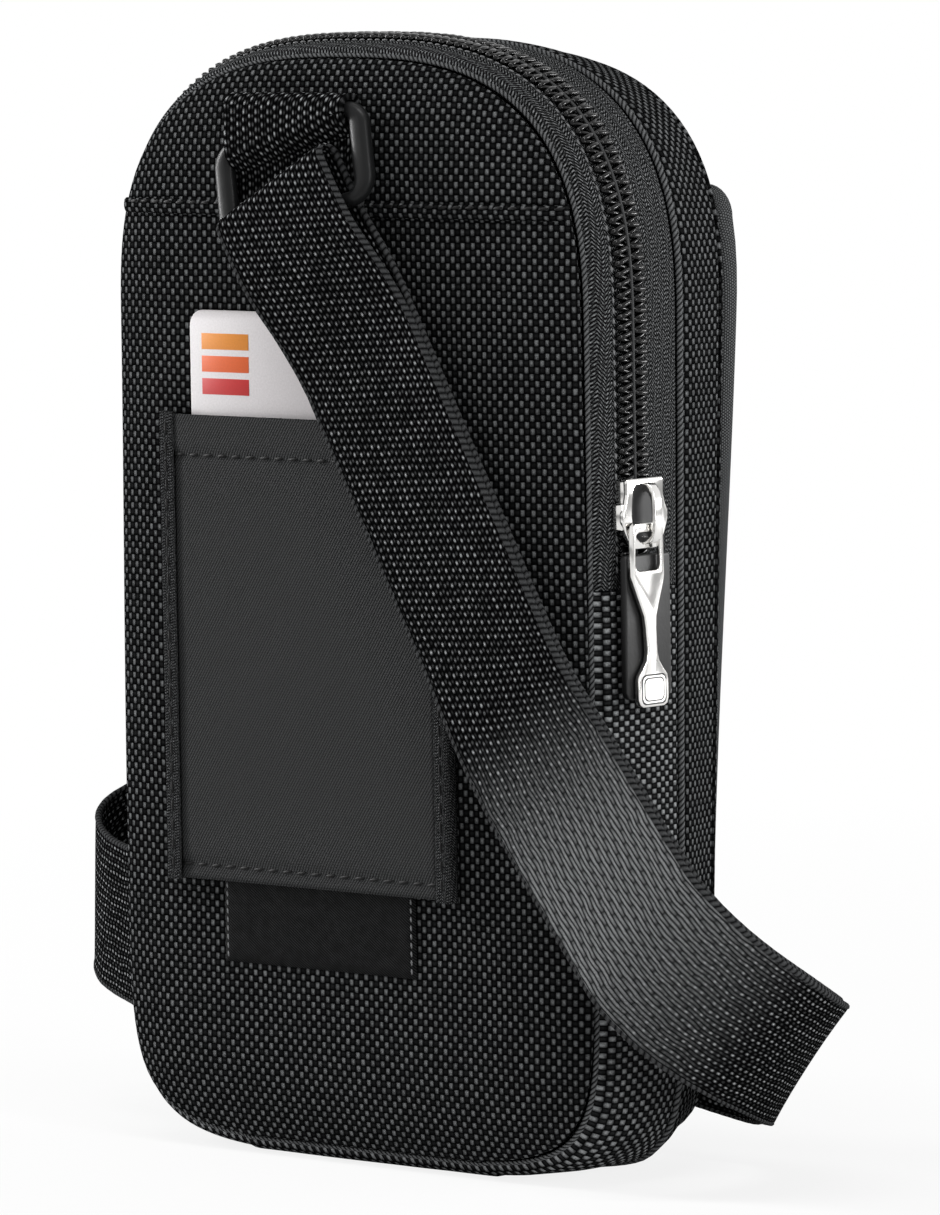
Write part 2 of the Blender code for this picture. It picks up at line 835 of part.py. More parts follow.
CARD_WIDTH = 53.98
CARD_HEIGHT = 85.6
CARD_THICK = 0.76
CARD_LEFT = -35.6
CARD_TOP = 156.2
CARD_CORNER = 3.18
card_outline = []
for cx, cz, start in (
    (CARD_LEFT + CARD_WIDTH - CARD_CORNER, CARD_TOP - CARD_CORNER, 0),
    (CARD_LEFT + CARD_CORNER, CARD_TOP - CARD_CORNER, 90),
    (CARD_LEFT + CARD_CORNER, CARD_TOP - CARD_HEIGHT + CARD_CORNER, 180),
    (CARD_LEFT + CARD_WIDTH - CARD_CORNER, CARD_TOP - CARD_HEIGHT + CARD_CORNER, 270),
):
    for i in range(6):
        angle = math.radians(start + 18 * i)
        card_outline.append(
            (cx + CARD_CORNER * math.cos(angle), cz + CARD_CORNER * math.sin(angle))
        )
card = loft(
    "card",
    [[(x, y, z) for x, z in card_outline] for y in (face_y - 0.04, face_y - 0.04 - CARD_THICK)],
    card_plastic,
    smooth=False,
)

# Strap ring: a plastic frame that hangs in the tab, turned in its own plane by the pull.
RING_TURN = math.radians(12.0)
RING_TILT = math.radians(9.0)
RING_MIDDLE = Vector((-6.0, -8.65, 181.35))
RING_HALF_WIDTH = 18.6
RING_HALF_HEIGHT = 9.5
BAR = 1.4


def ring_path():
    """Middle line of the frame with the half thickness in its plane at each point."""
    corner = 3.6
    points = []
    for cx, cz, start in ((1, 1, 0), (-1, 1, 90), (-1, -1, 180), (1, -1, 270)):
        for i in range(5):
            angle = math.radians(start + 22.5 * i)
            x = cx * (RING_HALF_WIDTH - corner) + corner * math.cos(angle)
            z = cz * (RING_HALF_HEIGHT - corner) + corner * math.sin(angle)
            upright = abs(math.cos(angle))
            points.append((x, z, angle, BAR + 0.75 * upright**3))
    return points


rings = []
turn = Matrix.Rotation(-RING_TURN, 3, "Y") @ Matrix.Rotation(-RING_TILT, 3, "X")
for x, z, angle, wide in ring_path():
    ring = []
    for i in range(8):
        a = math.radians(45 * i + 22.5)
        out = wide * math.cos(a)
        local = Vector((x + math.cos(angle) * out, BAR * math.sin(a), z + math.sin(angle) * out))
        ring.append(RING_MIDDLE + turn @ local)
    rings.append(ring)
strap_ring = loft("strap_ring", rings, plastic, wrap=True)
ring_hinge = RING_MIDDLE + turn @ Vector((0, 0, RING_HALF_HEIGHT))
hang_on(strap_ring, ring_hinge)


def offset_path(path, distance):
    """Shifts an open path of 2D points sideways, with mitred bends."""
    moved = []
    for i, (a, b) in enumerate(path):
        before = path[max(i - 1, 0)]
        after = path[min(i + 1, len(path) - 1)]
        d1 = Vector((a - before[0], b - before[1]))
        d2 = Vector((after[0] - a, after[1] - b))
        d1 = d1.normalized() if d1.length > 1e-9 else d2.normalized()
        d2 = d2.normalized() if d2.length > 1e-9 else d1
        n1, n2 = Vector((-d1.y, d1.x)), Vector((-d2.y, d2.x))
        n = (n1 + n2).normalized()
        size = distance / max(n.dot(n1), 0.6)
        moved.append((a + n.x * size, b + n.y * size))
    return moved


# Tab: webbing that rises from the yoke seam, folds over the ring's upper bar and comes back.
TAB_LEFT = -21.4
TAB_RIGHT = 7.8


def tab_section(across):
    """Section of the tab. The ring's bar slants, so the front layer dips in at another height."""
    bar = ring_hinge.z + math.tan(RING_TURN) * (across - ring_hinge.x)
    path = [
        (-4.9, YOKE_Z + 2.0),
        (-4.9, 194.2),
        (-5.2, 195.3),
        (-6.2, 196.0),
        (-7.6, 196.05),
        (-8.8, 195.5),
        (-9.4, 194.4),
        (-9.4, bar - 0.5),
        (-9.0, bar - 1.8),
        (-7.8, bar - 3.3),
        (-6.7, bar - 4.6),
        (-6.4, bar - 6.5),
        (-6.4, YOKE_Z + 2.0),
    ]
    around = offset_path(path, WEBBING / 2) + offset_path(path, -WEBBING / 2)[::-1]
    return [(across, y, z) for y, z in around]


loft("ring_tab", [tab_section(TAB_LEFT), tab_section(TAB_RIGHT)], web_cloth, smooth=False)

# Strap: stations give the middle of the webbing's inner face and the direction of its width.
FOLD = Vector((-7.3, 181.1))
DOWN = Vector((0.4908, -0.8713))
ACROSS = Vector((0.8713, 0.4908))
FRONT_Y = -8.4
BACK_Y = 40.6
BACK_WAY = Vector((-0.9855, 0.1699))

# Down the face the strap eases over toward the side, then one round bend joins the front and
# back runs. Every straight line across the bend runs along BEND.
EASED = Vector((0.629, -0.777)).normalized()
EASED_POINT = Vector((76.9, 44.9))
BEND = -(EASED + BACK_WAY).normalized()
AWAY = Vector((BEND.y, -BEND.x))
slant = EASED.dot(BEND)
spread = EASED.dot(AWAY)
BEND_START = 39.0
BEND_REACH = 25.8
stations = []
for along in (0.0, 12.0, 26.0, 42.0, 60.0, 78.0, 94.0):
    spot = FOLD + DOWN * along
    stations.append(((spot.x, FRONT_Y, spot.y), (ACROSS.x, 0.0, ACROSS.y)))
bend_spot = EASED_POINT + EASED * (BEND_START - EASED_POINT.dot(AWAY)) / spread
stations += [
    ((46.1, FRONT_Y, 86.4), (0.835, 0.0, 0.55)),
    ((54.8, FRONT_Y, 74.4), (0.797, 0.0, 0.604)),
]
half_gap = (BACK_Y - FRONT_Y) / 2
along_bend = bend_spot.dot(BEND)
at = None
for i in range(13):
    turned = math.pi * i / 12
    away = BEND_START + BEND_REACH * math.sin(turned)
    y = FRONT_Y + half_gap * (1 - math.cos(turned))
    if at:
        along_bend += math.dist(at, (away, y)) * slant / spread
    at = (away, y)
    heading = math.atan2(half_gap * math.sin(turned), BEND_REACH * math.cos(turned))
    spot = AWAY * away + BEND * along_bend
    flat = BEND * spread - AWAY * slant * math.cos(heading)
    stations.append(((spot.x, y, spot.y), (flat.x, -slant * math.sin(heading), flat.y)))
back_start = spot
BACK_LEFT = -62.0
for share in (0.12, 0.26, 0.4, 0.55, 0.7, 0.85, 1.0):
    spot = back_start + BACK_WAY * share * (back_start.x - BACK_LEFT) / -BACK_WAY.x
    stations.append(((spot.x, BACK_Y, spot.y), (BACK_WAY.y, 0.0, -BACK_WAY.x)))
stations += [
    ((-74.5, BACK_Y, 44.0), (0.12, 0.0, 0.99)),
    ((-84.4, 40.2, 45.4), (0.09, 0.04, 0.99)),
    ((-91.4, 36.8, 45.6), (0.05, 0.07, 0.99)),
    ((-94.0, 31.4, 44.0), (0.02, 0.07, 0.995)),
    ((-91.8, 25.4, 41.4), (0.0, 0.05, 1.0)),
    ((-86.2, 20.2, 39.0), (0.0, 0.03, 1.0)),
    ((-78.8, 16.2, 37.4), (0.0, 0.0, 1.0)),
    ((-71.4, 13.0, 36.5), (0.0, 0.0, 1.0)),
    ((-65.0, 9.4, 36.0), (0.0, 0.0, 1.0)),
    ((-61.3, 5.0, 35.8), (0.0, 0.0, 1.0)),
    ((-61.0, 0.8, 35.8), (0.0, 0.0, 1.0)),
]
middles = [Vector(point) for point, _ in stations]
widths = [Vector(way).normalized() for _, way in stations]
reach = [0.0]
for here, there in zip(middles, middles[1:]):
    reach.append(reach[-1] + (there - here).length)


def curve_at(values, along):
    """Cubic through the stations' values at a distance along them."""
    along = min(max(along, 0.0), reach[-1])
    i = 0
    while i < len(reach) - 2 and reach[i + 1] < along:
        i += 1
    span = reach[i + 1] - reach[i]
    share = (along - reach[i]) / span

    def slope(k):
        low, high = max(k - 1, 0), min(k + 1, len(reach) - 1)
        return (values[high] - values[low]) / (reach[high] - reach[low])

    a, b = values[i], values[i + 1]
    ta, tb = slope(i) * span, slope(i + 1) * span
    s2, s3 = share * share, share**3
    return (
        a * (2 * s3 - 3 * s2 + 1)
        + ta * (s3 - 2 * s2 + share)
        + b * (-2 * s3 + 3 * s2)
        + tb * (s3 - s2)
    )


def on_strap(along, across, lift):
    """Point of the webbing at a distance along and across it, lifted off its inner face."""
    middle = curve_at(middles, along)
    width = curve_at(widths, along).normalized()
    ahead = curve_at(middles, along + 0.5) - curve_at(middles, along - 0.5)
    normal = ahead.cross(width).normalized()
    return middle + width * across + normal * lift


# Adjuster on the run behind the bag: a three-bar slide whose middle bar holds the strap's end.
SLIDE_BAR_STEP = 7.6
SLIDE_BAR = 2.2
SLIDE_THICK = 1.6
ADJUSTER_X = -14.0
adjuster_along = 0.0
while curve_at(middles, adjuster_along).y < 30 or (
    curve_at(middles, adjuster_along).x > ADJUSTER_X
):
    adjuster_along += 0.25
slide_lift = 2.3
HALF = WEBBING / 2
bar_at = adjuster_along

# Path of the webbing: distance along the stations and lift of its middle layer.
strap_profile = [
    (bar_at + 2.0, 0.65),
    (bar_at + 2.8, 1.1),
    (bar_at + 3.1, 2.3),
    (bar_at + 2.8, 3.5),
    (bar_at + 1.6, 4.0),
    (bar_at - 1.6, 4.0),
    (bar_at - 2.8, 3.4),
    (bar_at - 3.6, 1.6),
    (bar_at - 4.4, -0.3),
    (bar_at - 5.8, -0.9),
    (bar_at - 10.0, -0.9),
]
run = bar_at - 16.0
while run > 34.0:
    strap_profile.append((run, -0.9))
    run -= 4.0
strap_profile += [
    (30.0, -0.9),
    (24.0, -0.8),
    (18.0, -0.5),
    (8.0, -0.5),
    (2.25, -0.5),
    (1.1, -0.2),
    (0.3, 0.65),
    (0.0, 1.75),
    (0.3, 2.85),
    (1.1, 3.7),
    (2.25, 4.0),
    (8.0, 4.0),
    (16.0, 4.0),
    (21.0, 3.4),
    (27.0, 2.2),
    (33.0, 1.1),
    (37.5, HALF),
]
run = 41.0
while run < bar_at - 13.0:
    strap_profile.append((run, HALF))
    run += 4.0
strap_profile += [
    (bar_at - 11.5, HALF),
    (bar_at - 7.2, HALF + 0.1),
    (bar_at - 5.4, 2.2),
    (bar_at - 4.2, 4.4),
    (bar_at - 2.8, 5.4),
    (bar_at - 1.0, 5.7),
    (bar_at + 1.6, 5.7),
    (bar_at + 3.6, 5.0),
    (bar_at + 4.7, 2.6),
    (bar_at + 5.8, HALF + 0.2),
    (bar_at + 8.0, HALF),
    (bar_at + 14.0, HALF),
]
run = bar_at + 18.0
while run < reach[-1] - 2.0:
    strap_profile.append((run, HALF))
    run += 3.5
strap_profile.append((reach[-1], HALF))

one_side = offset_path(strap_profile, HALF)
other_side = offset_path(strap_profile, -HALF)
rings = []
for (u1, h1), (u2, h2) in zip(one_side, other_side):
    half_wide = WEBBING_WIDTH / 2
    rings.append(
        [
            on_strap(u1, -half_wide, h1),
            on_strap(u1, half_wide, h1),
            on_strap(u2, half_wide, h2),
            on_strap(u2, -half_wide, h2),
        ]
    )
loft("strap", rings, web_cloth)

# The three-bar slide lies flat over the webbing behind the bag.
slide_outer = 3 * SLIDE_BAR_STEP / 2 + 0.4
shape = bmesh.new()
block(
    shape,
    (-slide_outer, -WEBBING_WIDTH / 2 - 3.0, -SLIDE_THICK / 2),
    (slide_outer, WEBBING_WIDTH / 2 + 3.0, SLIDE_THICK / 2),
)
adjuster = add_mesh("strap_adjuster", shape, plastic, smooth=False)
along_way = (curve_at(middles, bar_at + 1) - curve_at(middles, bar_at - 1)).normalized()
width_way = curve_at(widths, bar_at).normalized()
out_way = along_way.cross(width_way).normalized()
slide_frame = Matrix((along_way, width_way, out_way)).transposed().to_4x4()
centre = on_strap(bar_at, 0.0, slide_lift)
slide_place = Matrix.Translation(centre * MM) @ slide_frame
for side in (-1, 1):
    shape = bmesh.new()
    inner = side * SLIDE_BAR / 2
    outer = side * (slide_outer - SLIDE_BAR)
    block(
        shape,
        (min(inner, outer), -WEBBING_WIDTH / 2 - 0.5, -3.0),
        (max(inner, outer), WEBBING_WIDTH / 2 + 0.5, 3.0),
    )
    slot = as_cutter(f"adjuster_slot_{'near' if side < 0 else 'far'}", shape)
    slot.matrix_world = slide_place
    join(adjuster, slot, "DIFFERENCE")
adjuster.matrix_world = slide_place

# The frame's origin lies under the middle of the bottom, which the crown carries below the seams.
BASE_MIDDLE = 15.0
for made in list(bag.objects) + list(cutters.objects):
    made.location.y -= BASE_MIDDLE * MM
    made.location.z += CROWN * MM
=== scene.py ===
"""Look of the small upright sling bag: woven cloth, zip, hardware, card pocket and strap.

Lengths are in millimetres and go to metres in the mesh: x to the right, y back from the face
seam, z up from the bottom of the outline.
"""

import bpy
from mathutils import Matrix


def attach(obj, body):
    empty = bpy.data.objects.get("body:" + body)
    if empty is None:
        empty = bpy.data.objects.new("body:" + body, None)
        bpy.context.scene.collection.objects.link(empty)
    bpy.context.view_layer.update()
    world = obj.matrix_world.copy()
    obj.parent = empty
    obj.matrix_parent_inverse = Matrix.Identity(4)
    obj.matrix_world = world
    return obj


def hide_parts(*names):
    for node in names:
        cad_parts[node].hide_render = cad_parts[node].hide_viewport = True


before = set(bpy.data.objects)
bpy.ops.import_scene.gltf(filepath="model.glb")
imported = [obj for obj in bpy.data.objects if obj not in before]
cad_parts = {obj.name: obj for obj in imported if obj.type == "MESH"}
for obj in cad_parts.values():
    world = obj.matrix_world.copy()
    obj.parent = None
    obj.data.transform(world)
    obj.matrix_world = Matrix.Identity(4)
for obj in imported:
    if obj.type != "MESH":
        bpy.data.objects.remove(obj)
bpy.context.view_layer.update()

import math
from bisect import bisect_right

import bmesh
import bpy
from mathutils import Matrix, Vector, noise

# Camera: a long lens in front and to the right, a little above the middle of the bag.
# The picture was cropped to the left of the lens axis, which the small shift repeats.
MM = 0.001
AZIMUTH = math.radians(42.48)
ELEVATION = math.radians(4.82)
ROLL = math.radians(-0.966)
DISTANCE = 1.625
TARGET = Vector((0.0, 0.002, 0.1061))
level = math.cos(ELEVATION)
back_way = Vector((math.sin(AZIMUTH) * level, -math.cos(AZIMUTH) * level, math.sin(ELEVATION)))
lens_data = bpy.data.cameras.new("camera")
lens_data.sensor_width = 36.0
lens_data.lens = 259.0
lens_data.shift_x = 0.0444
lens_data.shift_y = -0.0158
lens_data.clip_start = 0.05
lens_data.clip_end = 30.0
camera = bpy.data.objects.new("camera", lens_data)
camera.rotation_mode = "QUATERNION"
camera.location = TARGET + back_way * DISTANCE
turned = (-back_way).to_track_quat("-Z", "Y")
camera.rotation_quaternion = turned @ Matrix.Rotation(ROLL, 3, "Z").to_quaternion()
bpy.context.scene.collection.objects.link(camera)
bpy.context.scene.camera = camera
bpy.context.scene.view_settings.view_transform = "Standard"

# Studio: soft boxes at both sides, above and behind, a white surround for the camera and the
# reflections, and a pale floor that goes over into white away from the bag.


def soft_box(name, place, wide, tall, power, aim=(0.0, 0.0, 0.1)):
    data = bpy.data.lights.new(name, "AREA")
    data.shape = "RECTANGLE"
    data.size = wide
    data.size_y = tall
    data.energy = power
    lamp = bpy.data.objects.new(name, data)
    lamp.location = place
    way = Vector(aim) - Vector(place)
    lamp.rotation_mode = "QUATERNION"
    lamp.rotation_quaternion = way.to_track_quat("-Z", "Y")
    bpy.context.scene.collection.objects.link(lamp)


soft_box("box_left", (-1.04, -0.3, 0.45), 0.16, 0.9, 13.0)
soft_box("box_right", (1.05, -0.25, 0.4), 0.16, 0.9, 4.4)
soft_box("box_top", (0.15, -0.3, 1.1), 0.8, 0.1, 5.0)
soft_box("box_behind", (0.8, 0.88, 0.22), 0.6, 0.06, 7.0, aim=(0.03, 0.0, 0.13))


def make_node(tree, kind, ends=None, **settings):
    """A node with its settings, its inputs set to numbers and colours or tied to other nodes."""
    node = tree.nodes.new("ShaderNode" + kind)
    for name, setting in settings.items():
        setattr(node, name, setting)
    for place, value in (ends or {}).items():
        value = getattr(value, "socket", value)
        if isinstance(value, bpy.types.NodeSocket):
            tree.links.new(value, node.inputs[place])
        else:
            node.inputs[place].default_value = value
    return node.outputs


def math_node(tree, work, *values):
    """One sum of numbers and sockets in a tree of nodes."""
    return make_node(tree, "Math", dict(enumerate(values)), operation=work)[0]


def range_node(tree, value, low, high, start=0.0, end=1.0, steps="LINEAR"):
    """Turns a value that goes from start to end into one that goes from low to high."""
    ends = {"Value": value, "From Min": start, "From Max": end, "To Min": low, "To Max": high}
    return make_node(tree, "MapRange", ends, interpolation_type=steps)[0]


WHITE = (1.0, 1.0, 1.0, 1.0)
world = bpy.data.worlds.new("studio")
world.use_nodes = True
bpy.context.scene.world = world
sky = world.node_tree
air = sky.nodes["Background"].inputs
seen = make_node(sky, "LightPath")
straight = math_node(sky, "MAXIMUM", seen["Is Camera Ray"], seen["Is Transmission Ray"])
either = math_node(sky, "MAXIMUM", straight, seen["Is Glossy Ray"])
sky.links.new(range_node(sky, either, 0.22, 1.0), air["Strength"])
air["Color"].default_value = WHITE
floor_shape = bmesh.new()
bmesh.ops.create_circle(floor_shape, cap_ends=True, segments=96, radius=6.0)
floor_mesh = bpy.data.meshes.new("floor")
floor_shape.to_mesh(floor_mesh)
floor_shape.free()
floor = bpy.data.objects.new("floor", floor_mesh)
bpy.context.scene.collection.objects.link(floor)
floor_paint = bpy.data.materials.new("pale_floor")
floor_paint.use_nodes = True
ground = floor_paint.node_tree
matt = ground.nodes["Principled BSDF"]
matt.inputs["Base Color"].default_value = (0.86, 0.86, 0.86, 1.0)
matt.inputs["Roughness"].default_value = 0.9
glow = make_node(ground, "Emission", {"Color": WHITE})[0]
camera_ray = make_node(ground, "LightPath")["Is Camera Ray"]
floor_place = make_node(ground, "TexCoord")["Object"]
far_off = make_node(ground, "VectorMath", {0: floor_place}, operation="LENGTH")["Value"]
fade = range_node(ground, far_off, 0.84, 1.0, 0.1, 0.6)
share = math_node(ground, "MULTIPLY", fade, camera_ray)
floor_mix = make_node(ground, "MixShader", {0: share, 1: matt.outputs[0], 2: glow})[0]
ground.links.new(floor_mix, ground.nodes["Material Output"].inputs["Surface"])
floor_mesh.materials.append(floor_paint)

# Outline of the body: the cloth panels are all cut to it, and the gusset is sewn round it.
# It is two half superellipses with straight sides, walked by its length from the bottom's middle.
HALF_WIDTH = 58.5
HEIGHT = 204.0
TOP_RISE = 49.7
TOP_POWER = 2.73
BOTTOM_RISE = 42.7
BOTTOM_POWER = 4.92
FLAT_BOTTOM = 0.35
DEPTH = 39.0
STRAIGHT_DEPTH = 14.5
TAPER = 0.356
CROWN = 2.1
GROOVE_AT = 23.8
BASE_MIDDLE = 15.0


def run_along(points):
    """Distance walked to each point of a line."""
    run = [0.0]
    for here, there in zip(points, points[1:]):
        run.append(run[-1] + math.dist(here, there))
    return run


def quarter(rise, power):
    """A quarter of a superellipse, from its middle to its side."""
    points = []
    for i in range(401):
        angle = math.pi / 2 * i / 400
        across = HALF_WIDTH * math.sin(angle) ** (2 / power)
        points.append((across, rise * math.cos(angle) ** (2 / power)))
    return points


right_half = [(x, BOTTOM_RISE - z) for x, z in quarter(BOTTOM_RISE, BOTTOM_POWER)]
right_half = [(x, 0.0 if z < FLAT_BOTTOM else z) for x, z in right_half]
right_half += [(x, HEIGHT - TOP_RISE + z) for x, z in reversed(quarter(TOP_RISE, TOP_POWER))]
dense = right_half + [(-x, z) for x, z in reversed(right_half[1:-1])]
walked = run_along(dense + dense[:1])
ROUND = walked[-1]


def on_outline(along):
    """Point and outward normal of the outline at a distance from the middle of the bottom."""

    def spot(distance):
        distance %= ROUND
        low = bisect_right(walked, distance, 0, len(dense)) - 1
        here, there = dense[low], dense[(low + 1) % len(dense)]
        span = walked[low + 1] - walked[low]
        part = (distance - walked[low]) / span if span > 1e-9 else 0.0
        return here[0] + (there[0] - here[0]) * part, here[1] + (there[1] - here[1]) * part

    before, after = spot(along - 1.5), spot(along + 1.5)
    dx, dz = after[0] - before[0], after[1] - before[1]
    size = math.hypot(dx, dz)
    return spot(along), (dz / size, -dx / size)


def length_to(height):
    """Distance along the outline from the middle of the bottom to a height on the right side."""
    for i, (x, z) in enumerate(dense):
        if x > 0 and z >= height:
            below = dense[i - 1][1]
            return walked[i - 1] + (height - below) / (z - below) * (walked[i] - walked[i - 1])
    return ROUND / 2


def smooth_step(value):
    value = min(max(value, 0.0), 1.0)
    return value * value * (3 - 2 * value)


def depth_at(depth, height):
    """Distance behind the face seam. The rear part tapers toward the bottom."""
    if depth <= STRAIGHT_DEPTH:
        return depth
    squeeze = 1 - TAPER * (1 - height / HEIGHT)
    inside = min(depth, DEPTH)
    return STRAIGHT_DEPTH + (inside - STRAIGHT_DEPTH) * squeeze + max(depth - DEPTH, 0.0)


def crown_at(depth, height):
    """How far the gusset swells outward, with a shallow groove at the rear band's seam."""
    if depth <= 0 or depth >= DEPTH:
        return 0.0
    swell = math.sin(math.pi / 2 * min(depth / 4.0, 1.0))
    swell *= smooth_step((DEPTH - depth) / 14)
    dip = 0.45 * math.exp(-(((depth - GROOVE_AT) / 1.3) ** 2))
    corner = 1.6 * math.exp(-(((height - 5.0) / 9.0) ** 2)) * smooth_step((depth - 1) / 8)
    corner *= smooth_step(height / 5.0)
    return max(CROWN * swell - dip * smooth_step((height - 2) / 28) + corner * swell, 0.0)


def off_rim(along, inset, depth):
    """Point inside the outline at a depth behind the face seam."""
    (x, z), (nx, nz) = on_outline(along)
    x, z = x - nx * inset, z - nz * inset
    return Vector((x, depth_at(depth, z), z))


# Ballistic nylon: doubled yarns in a coarse basket weave, black, with the upright yarns standing
# proud. The light that they catch is painted into the colour as painted highlights. All the woven
# finishes are built from the same few yarn shapes.


def node_work(kind):
    """A method of a yarn that adds one node of the kind to its tree."""
    return lambda *values: Yarn(values[0].tree, math_node(values[0].tree, kind, *values))


class Yarn:
    """A value in a finish's tree of nodes, so that sums of them read as sums."""

    def __init__(self, tree, socket):
        self.tree = tree
        self.socket = socket

    __add__ = node_work("ADD")
    __sub__ = node_work("SUBTRACT")
    __mul__ = node_work("MULTIPLY")
    __truediv__ = node_work("DIVIDE")
    __mod__ = node_work("MODULO")
    __pow__ = node_work("POWER")
    at_least = node_work("MAXIMUM")
    at_most = node_work("MINIMUM")
    size = node_work("ABSOLUTE")
    whole = node_work("FLOOR")
    rest = node_work("FRACT")
    wave = node_work("SINE")

    def __rsub__(self, other):
        return Yarn(self.tree, math_node(self.tree, "SUBTRACT", other, self))

    def hump(self):
        """A rounded ridge between whole numbers, nought at each of them and one between."""
        return (self.rest() * math.pi).wave()


class Finish:
    """A material with short calls for what the finishes are made of."""

    def __init__(self, name, colour, roughness, specular=0.0, metallic=0.0):
        self.material = bpy.data.materials.new(name)
        self.material.use_nodes = True
        self.tree = self.material.node_tree
        self.shader = self.tree.nodes["Principled BSDF"].inputs
        self.shader["Base Color"].default_value = (*colour, 1.0)
        self.shader["Roughness"].default_value = roughness
        self.shader["Metallic"].default_value = metallic
        self.shader["Specular IOR Level"].default_value = specular

    def cloth_place(self):
        """Along and across on the cloth in millimetres, from the piece's own UV map."""
        vector = make_node(self.tree, "UVMap", uv_map="cloth")[0]
        parts = make_node(self.tree, "SeparateXYZ", {0: vector})
        return vector, Yarn(self.tree, parts[0]), Yarn(self.tree, parts[1])

    def place(self):
        """Place on a hard piece, in metres."""
        return make_node(self.tree, "TexCoord")["Object"]

    def speck(self, vector, scale, detail=2.0, roughness=0.5):
        ends = {"Vector": vector, "Scale": scale, "Detail": detail, "Roughness": roughness}
        return Yarn(self.tree, make_node(self.tree, "TexNoise", ends)["Fac"])

    def chance(self, a, b):
        """A fixed random number for each cell of a pattern."""
        pair = make_node(self.tree, "CombineXYZ", {0: a, 1: b})[0]
        cell = make_node(self.tree, "TexWhiteNoise", {"Vector": pair}, noise_dimensions="2D")
        return Yarn(self.tree, cell["Value"])

    def pick(self, share, first, second):
        """The first value where the share is nought, the second where it is one."""
        return Yarn(self.tree, make_node(self.tree, "Mix", {0: share, 2: first, 3: second})[0])

    def tint(self, value, dark, light):
        """Colour from dark to light by a value, into the shader."""
        ends = {"Factor": value, "A": (*dark, 1.0), "B": (*light, 1.0)}
        blend = make_node(self.tree, "Mix", ends, data_type="RGBA")
        self.tree.links.new(blend["Result"], self.shader["Base Color"])

    def rough(self, value, low, high):
        """Roughness from low to high by a value."""
        self.tree.links.new(range_node(self.tree, value, low, high), self.shader["Roughness"])

    def relief(self, height, depth):
        """Bump of the given depth in millimetres."""
        bump = make_node(self.tree, "Bump", {"Distance": depth * MM, "Height": height})
        self.tree.links.new(bump[0], self.shader["Normal"])


def basket_weave(name, wide, tall, upright, dark, light, depth, twin=2.0, narrow=1.8):
    """Squares of upright yarns between squares of lying yarns, in a chequer."""
    finish = Finish(name, light, 0.6)
    vector, u, v = finish.cloth_place()
    drift = (finish.speck(vector, 0.09) - 0.5) * 0.5
    a = u / wide + (drift + 400.0)
    b = v / tall + (drift + 400.0)
    cell_a, cell_b = a.whole(), b.whole()
    chequer = (cell_a + cell_b) % 2.0
    warp = a.hump() ** 0.55 * ((a * twin).hump() * 0.3 + 0.7) * b.hump() ** 0.5
    weft = b.hump() ** 0.7 * a.hump() ** 0.5 * (1.0 - upright)
    height = finish.pick(chequer, weft, warp)
    fuzz = finish.speck(vector, 3.2, 3.0, 0.7)
    # Painted highlights: the upright yarns are painted lighter as dashes, each one lighter toward one end
    # for light from above, with random glints; the lying yarns get a faint share.
    dash = a.hump() ** narrow * b.hump() ** 0.5 * chequer + weft**1.5 * 0.28
    painted_sheen = dash * (finish.chance(cell_a, cell_b) * 0.6 + 0.7) * (b.rest() * 0.9 + 0.45)
    painted_sheen = painted_sheen * ((fuzz - 0.5) * 3.2 + 1.0).at_least(0.25)
    finish.tint(painted_sheen.at_most(1.0), dark, light)
    finish.rough(height, 0.8, 0.5)
    finish.relief(height + fuzz * 0.25, depth)
    return finish.material


YARN_BLACK = (0.0012, 0.0012, 0.0013)
ballistic = basket_weave("ballistic_nylon", 1.22, 1.23, 0.62, YARN_BLACK, (0.155, 0.16, 0.163), 0.34)


def place_piece(name, data, material, body, nodes):
    """Makes a shape a piece of the frame."""
    data.materials.append(material)
    made = bpy.data.objects.new(name, data)
    bpy.context.scene.collection.objects.link(made)
    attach(made, body)
    if nodes:
        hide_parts(*nodes)
    return made


def save_piece(name, shape, material, body, nodes):
    """Puts a shape that is made in millimetres into the scene as a piece, in metres."""
    bmesh.ops.remove_doubles(shape, verts=shape.verts, dist=0.0005)
    bmesh.ops.recalc_face_normals(shape, faces=shape.faces)
    bmesh.ops.translate(shape, vec=(0.0, -BASE_MIDDLE, CROWN), verts=shape.verts)
    bmesh.ops.scale(shape, vec=(MM, MM, MM), verts=shape.verts)
    mesh = bpy.data.meshes.new(name)
    shape.to_mesh(mesh)
    shape.free()
    for face in mesh.polygons:
        face.use_smooth = True
    return place_piece(name, mesh, material, body, nodes)


def lay_cloth(columns, rows, put, flip=False):
    """A grid laid over a surface: put takes shares across and along it, and gives the point and
    its place on the flat cloth in millimetres, which the UV map keeps for the weave."""
    shape = bmesh.new()
    cloth = shape.loops.layers.uv.new("cloth")
    bmesh.ops.create_grid(shape, x_segments=columns, y_segments=rows, size=0.5)
    for face in shape.faces:
        for loop in face.loops:
            loop[cloth].uv = put(loop.vert.co.x + 0.5, loop.vert.co.y + 0.5)[1]
    for vert in shape.verts:
        vert.co = put(vert.co.x + 0.5, vert.co.y + 0.5)[0]
    if flip:
        bmesh.ops.reverse_faces(shape, faces=shape.faces)
    return shape


def lay_flat(made):
    """Adds up a sheet's flat area from its own UV map, which holds it in millimetres; the sum is not
    kept.
    """
    corners = made.data.uv_layers[0].data
    area = 0.0
    for face in made.data.polygons:
        ring = [corners[i].uv for i in face.loop_indices]
        area += abs(sum(a.x * b.y - b.x * a.y for a, b in zip(ring, ring[1:] + ring[:1]))) / 2


def thicken(made, thickness, offset=-1.0):
    """Gives the cloth its thickness, inward unless told otherwise."""
    wall = made.modifiers.new("thickness", "SOLIDIFY")
    wall.thickness = thickness * MM
    wall.offset = offset


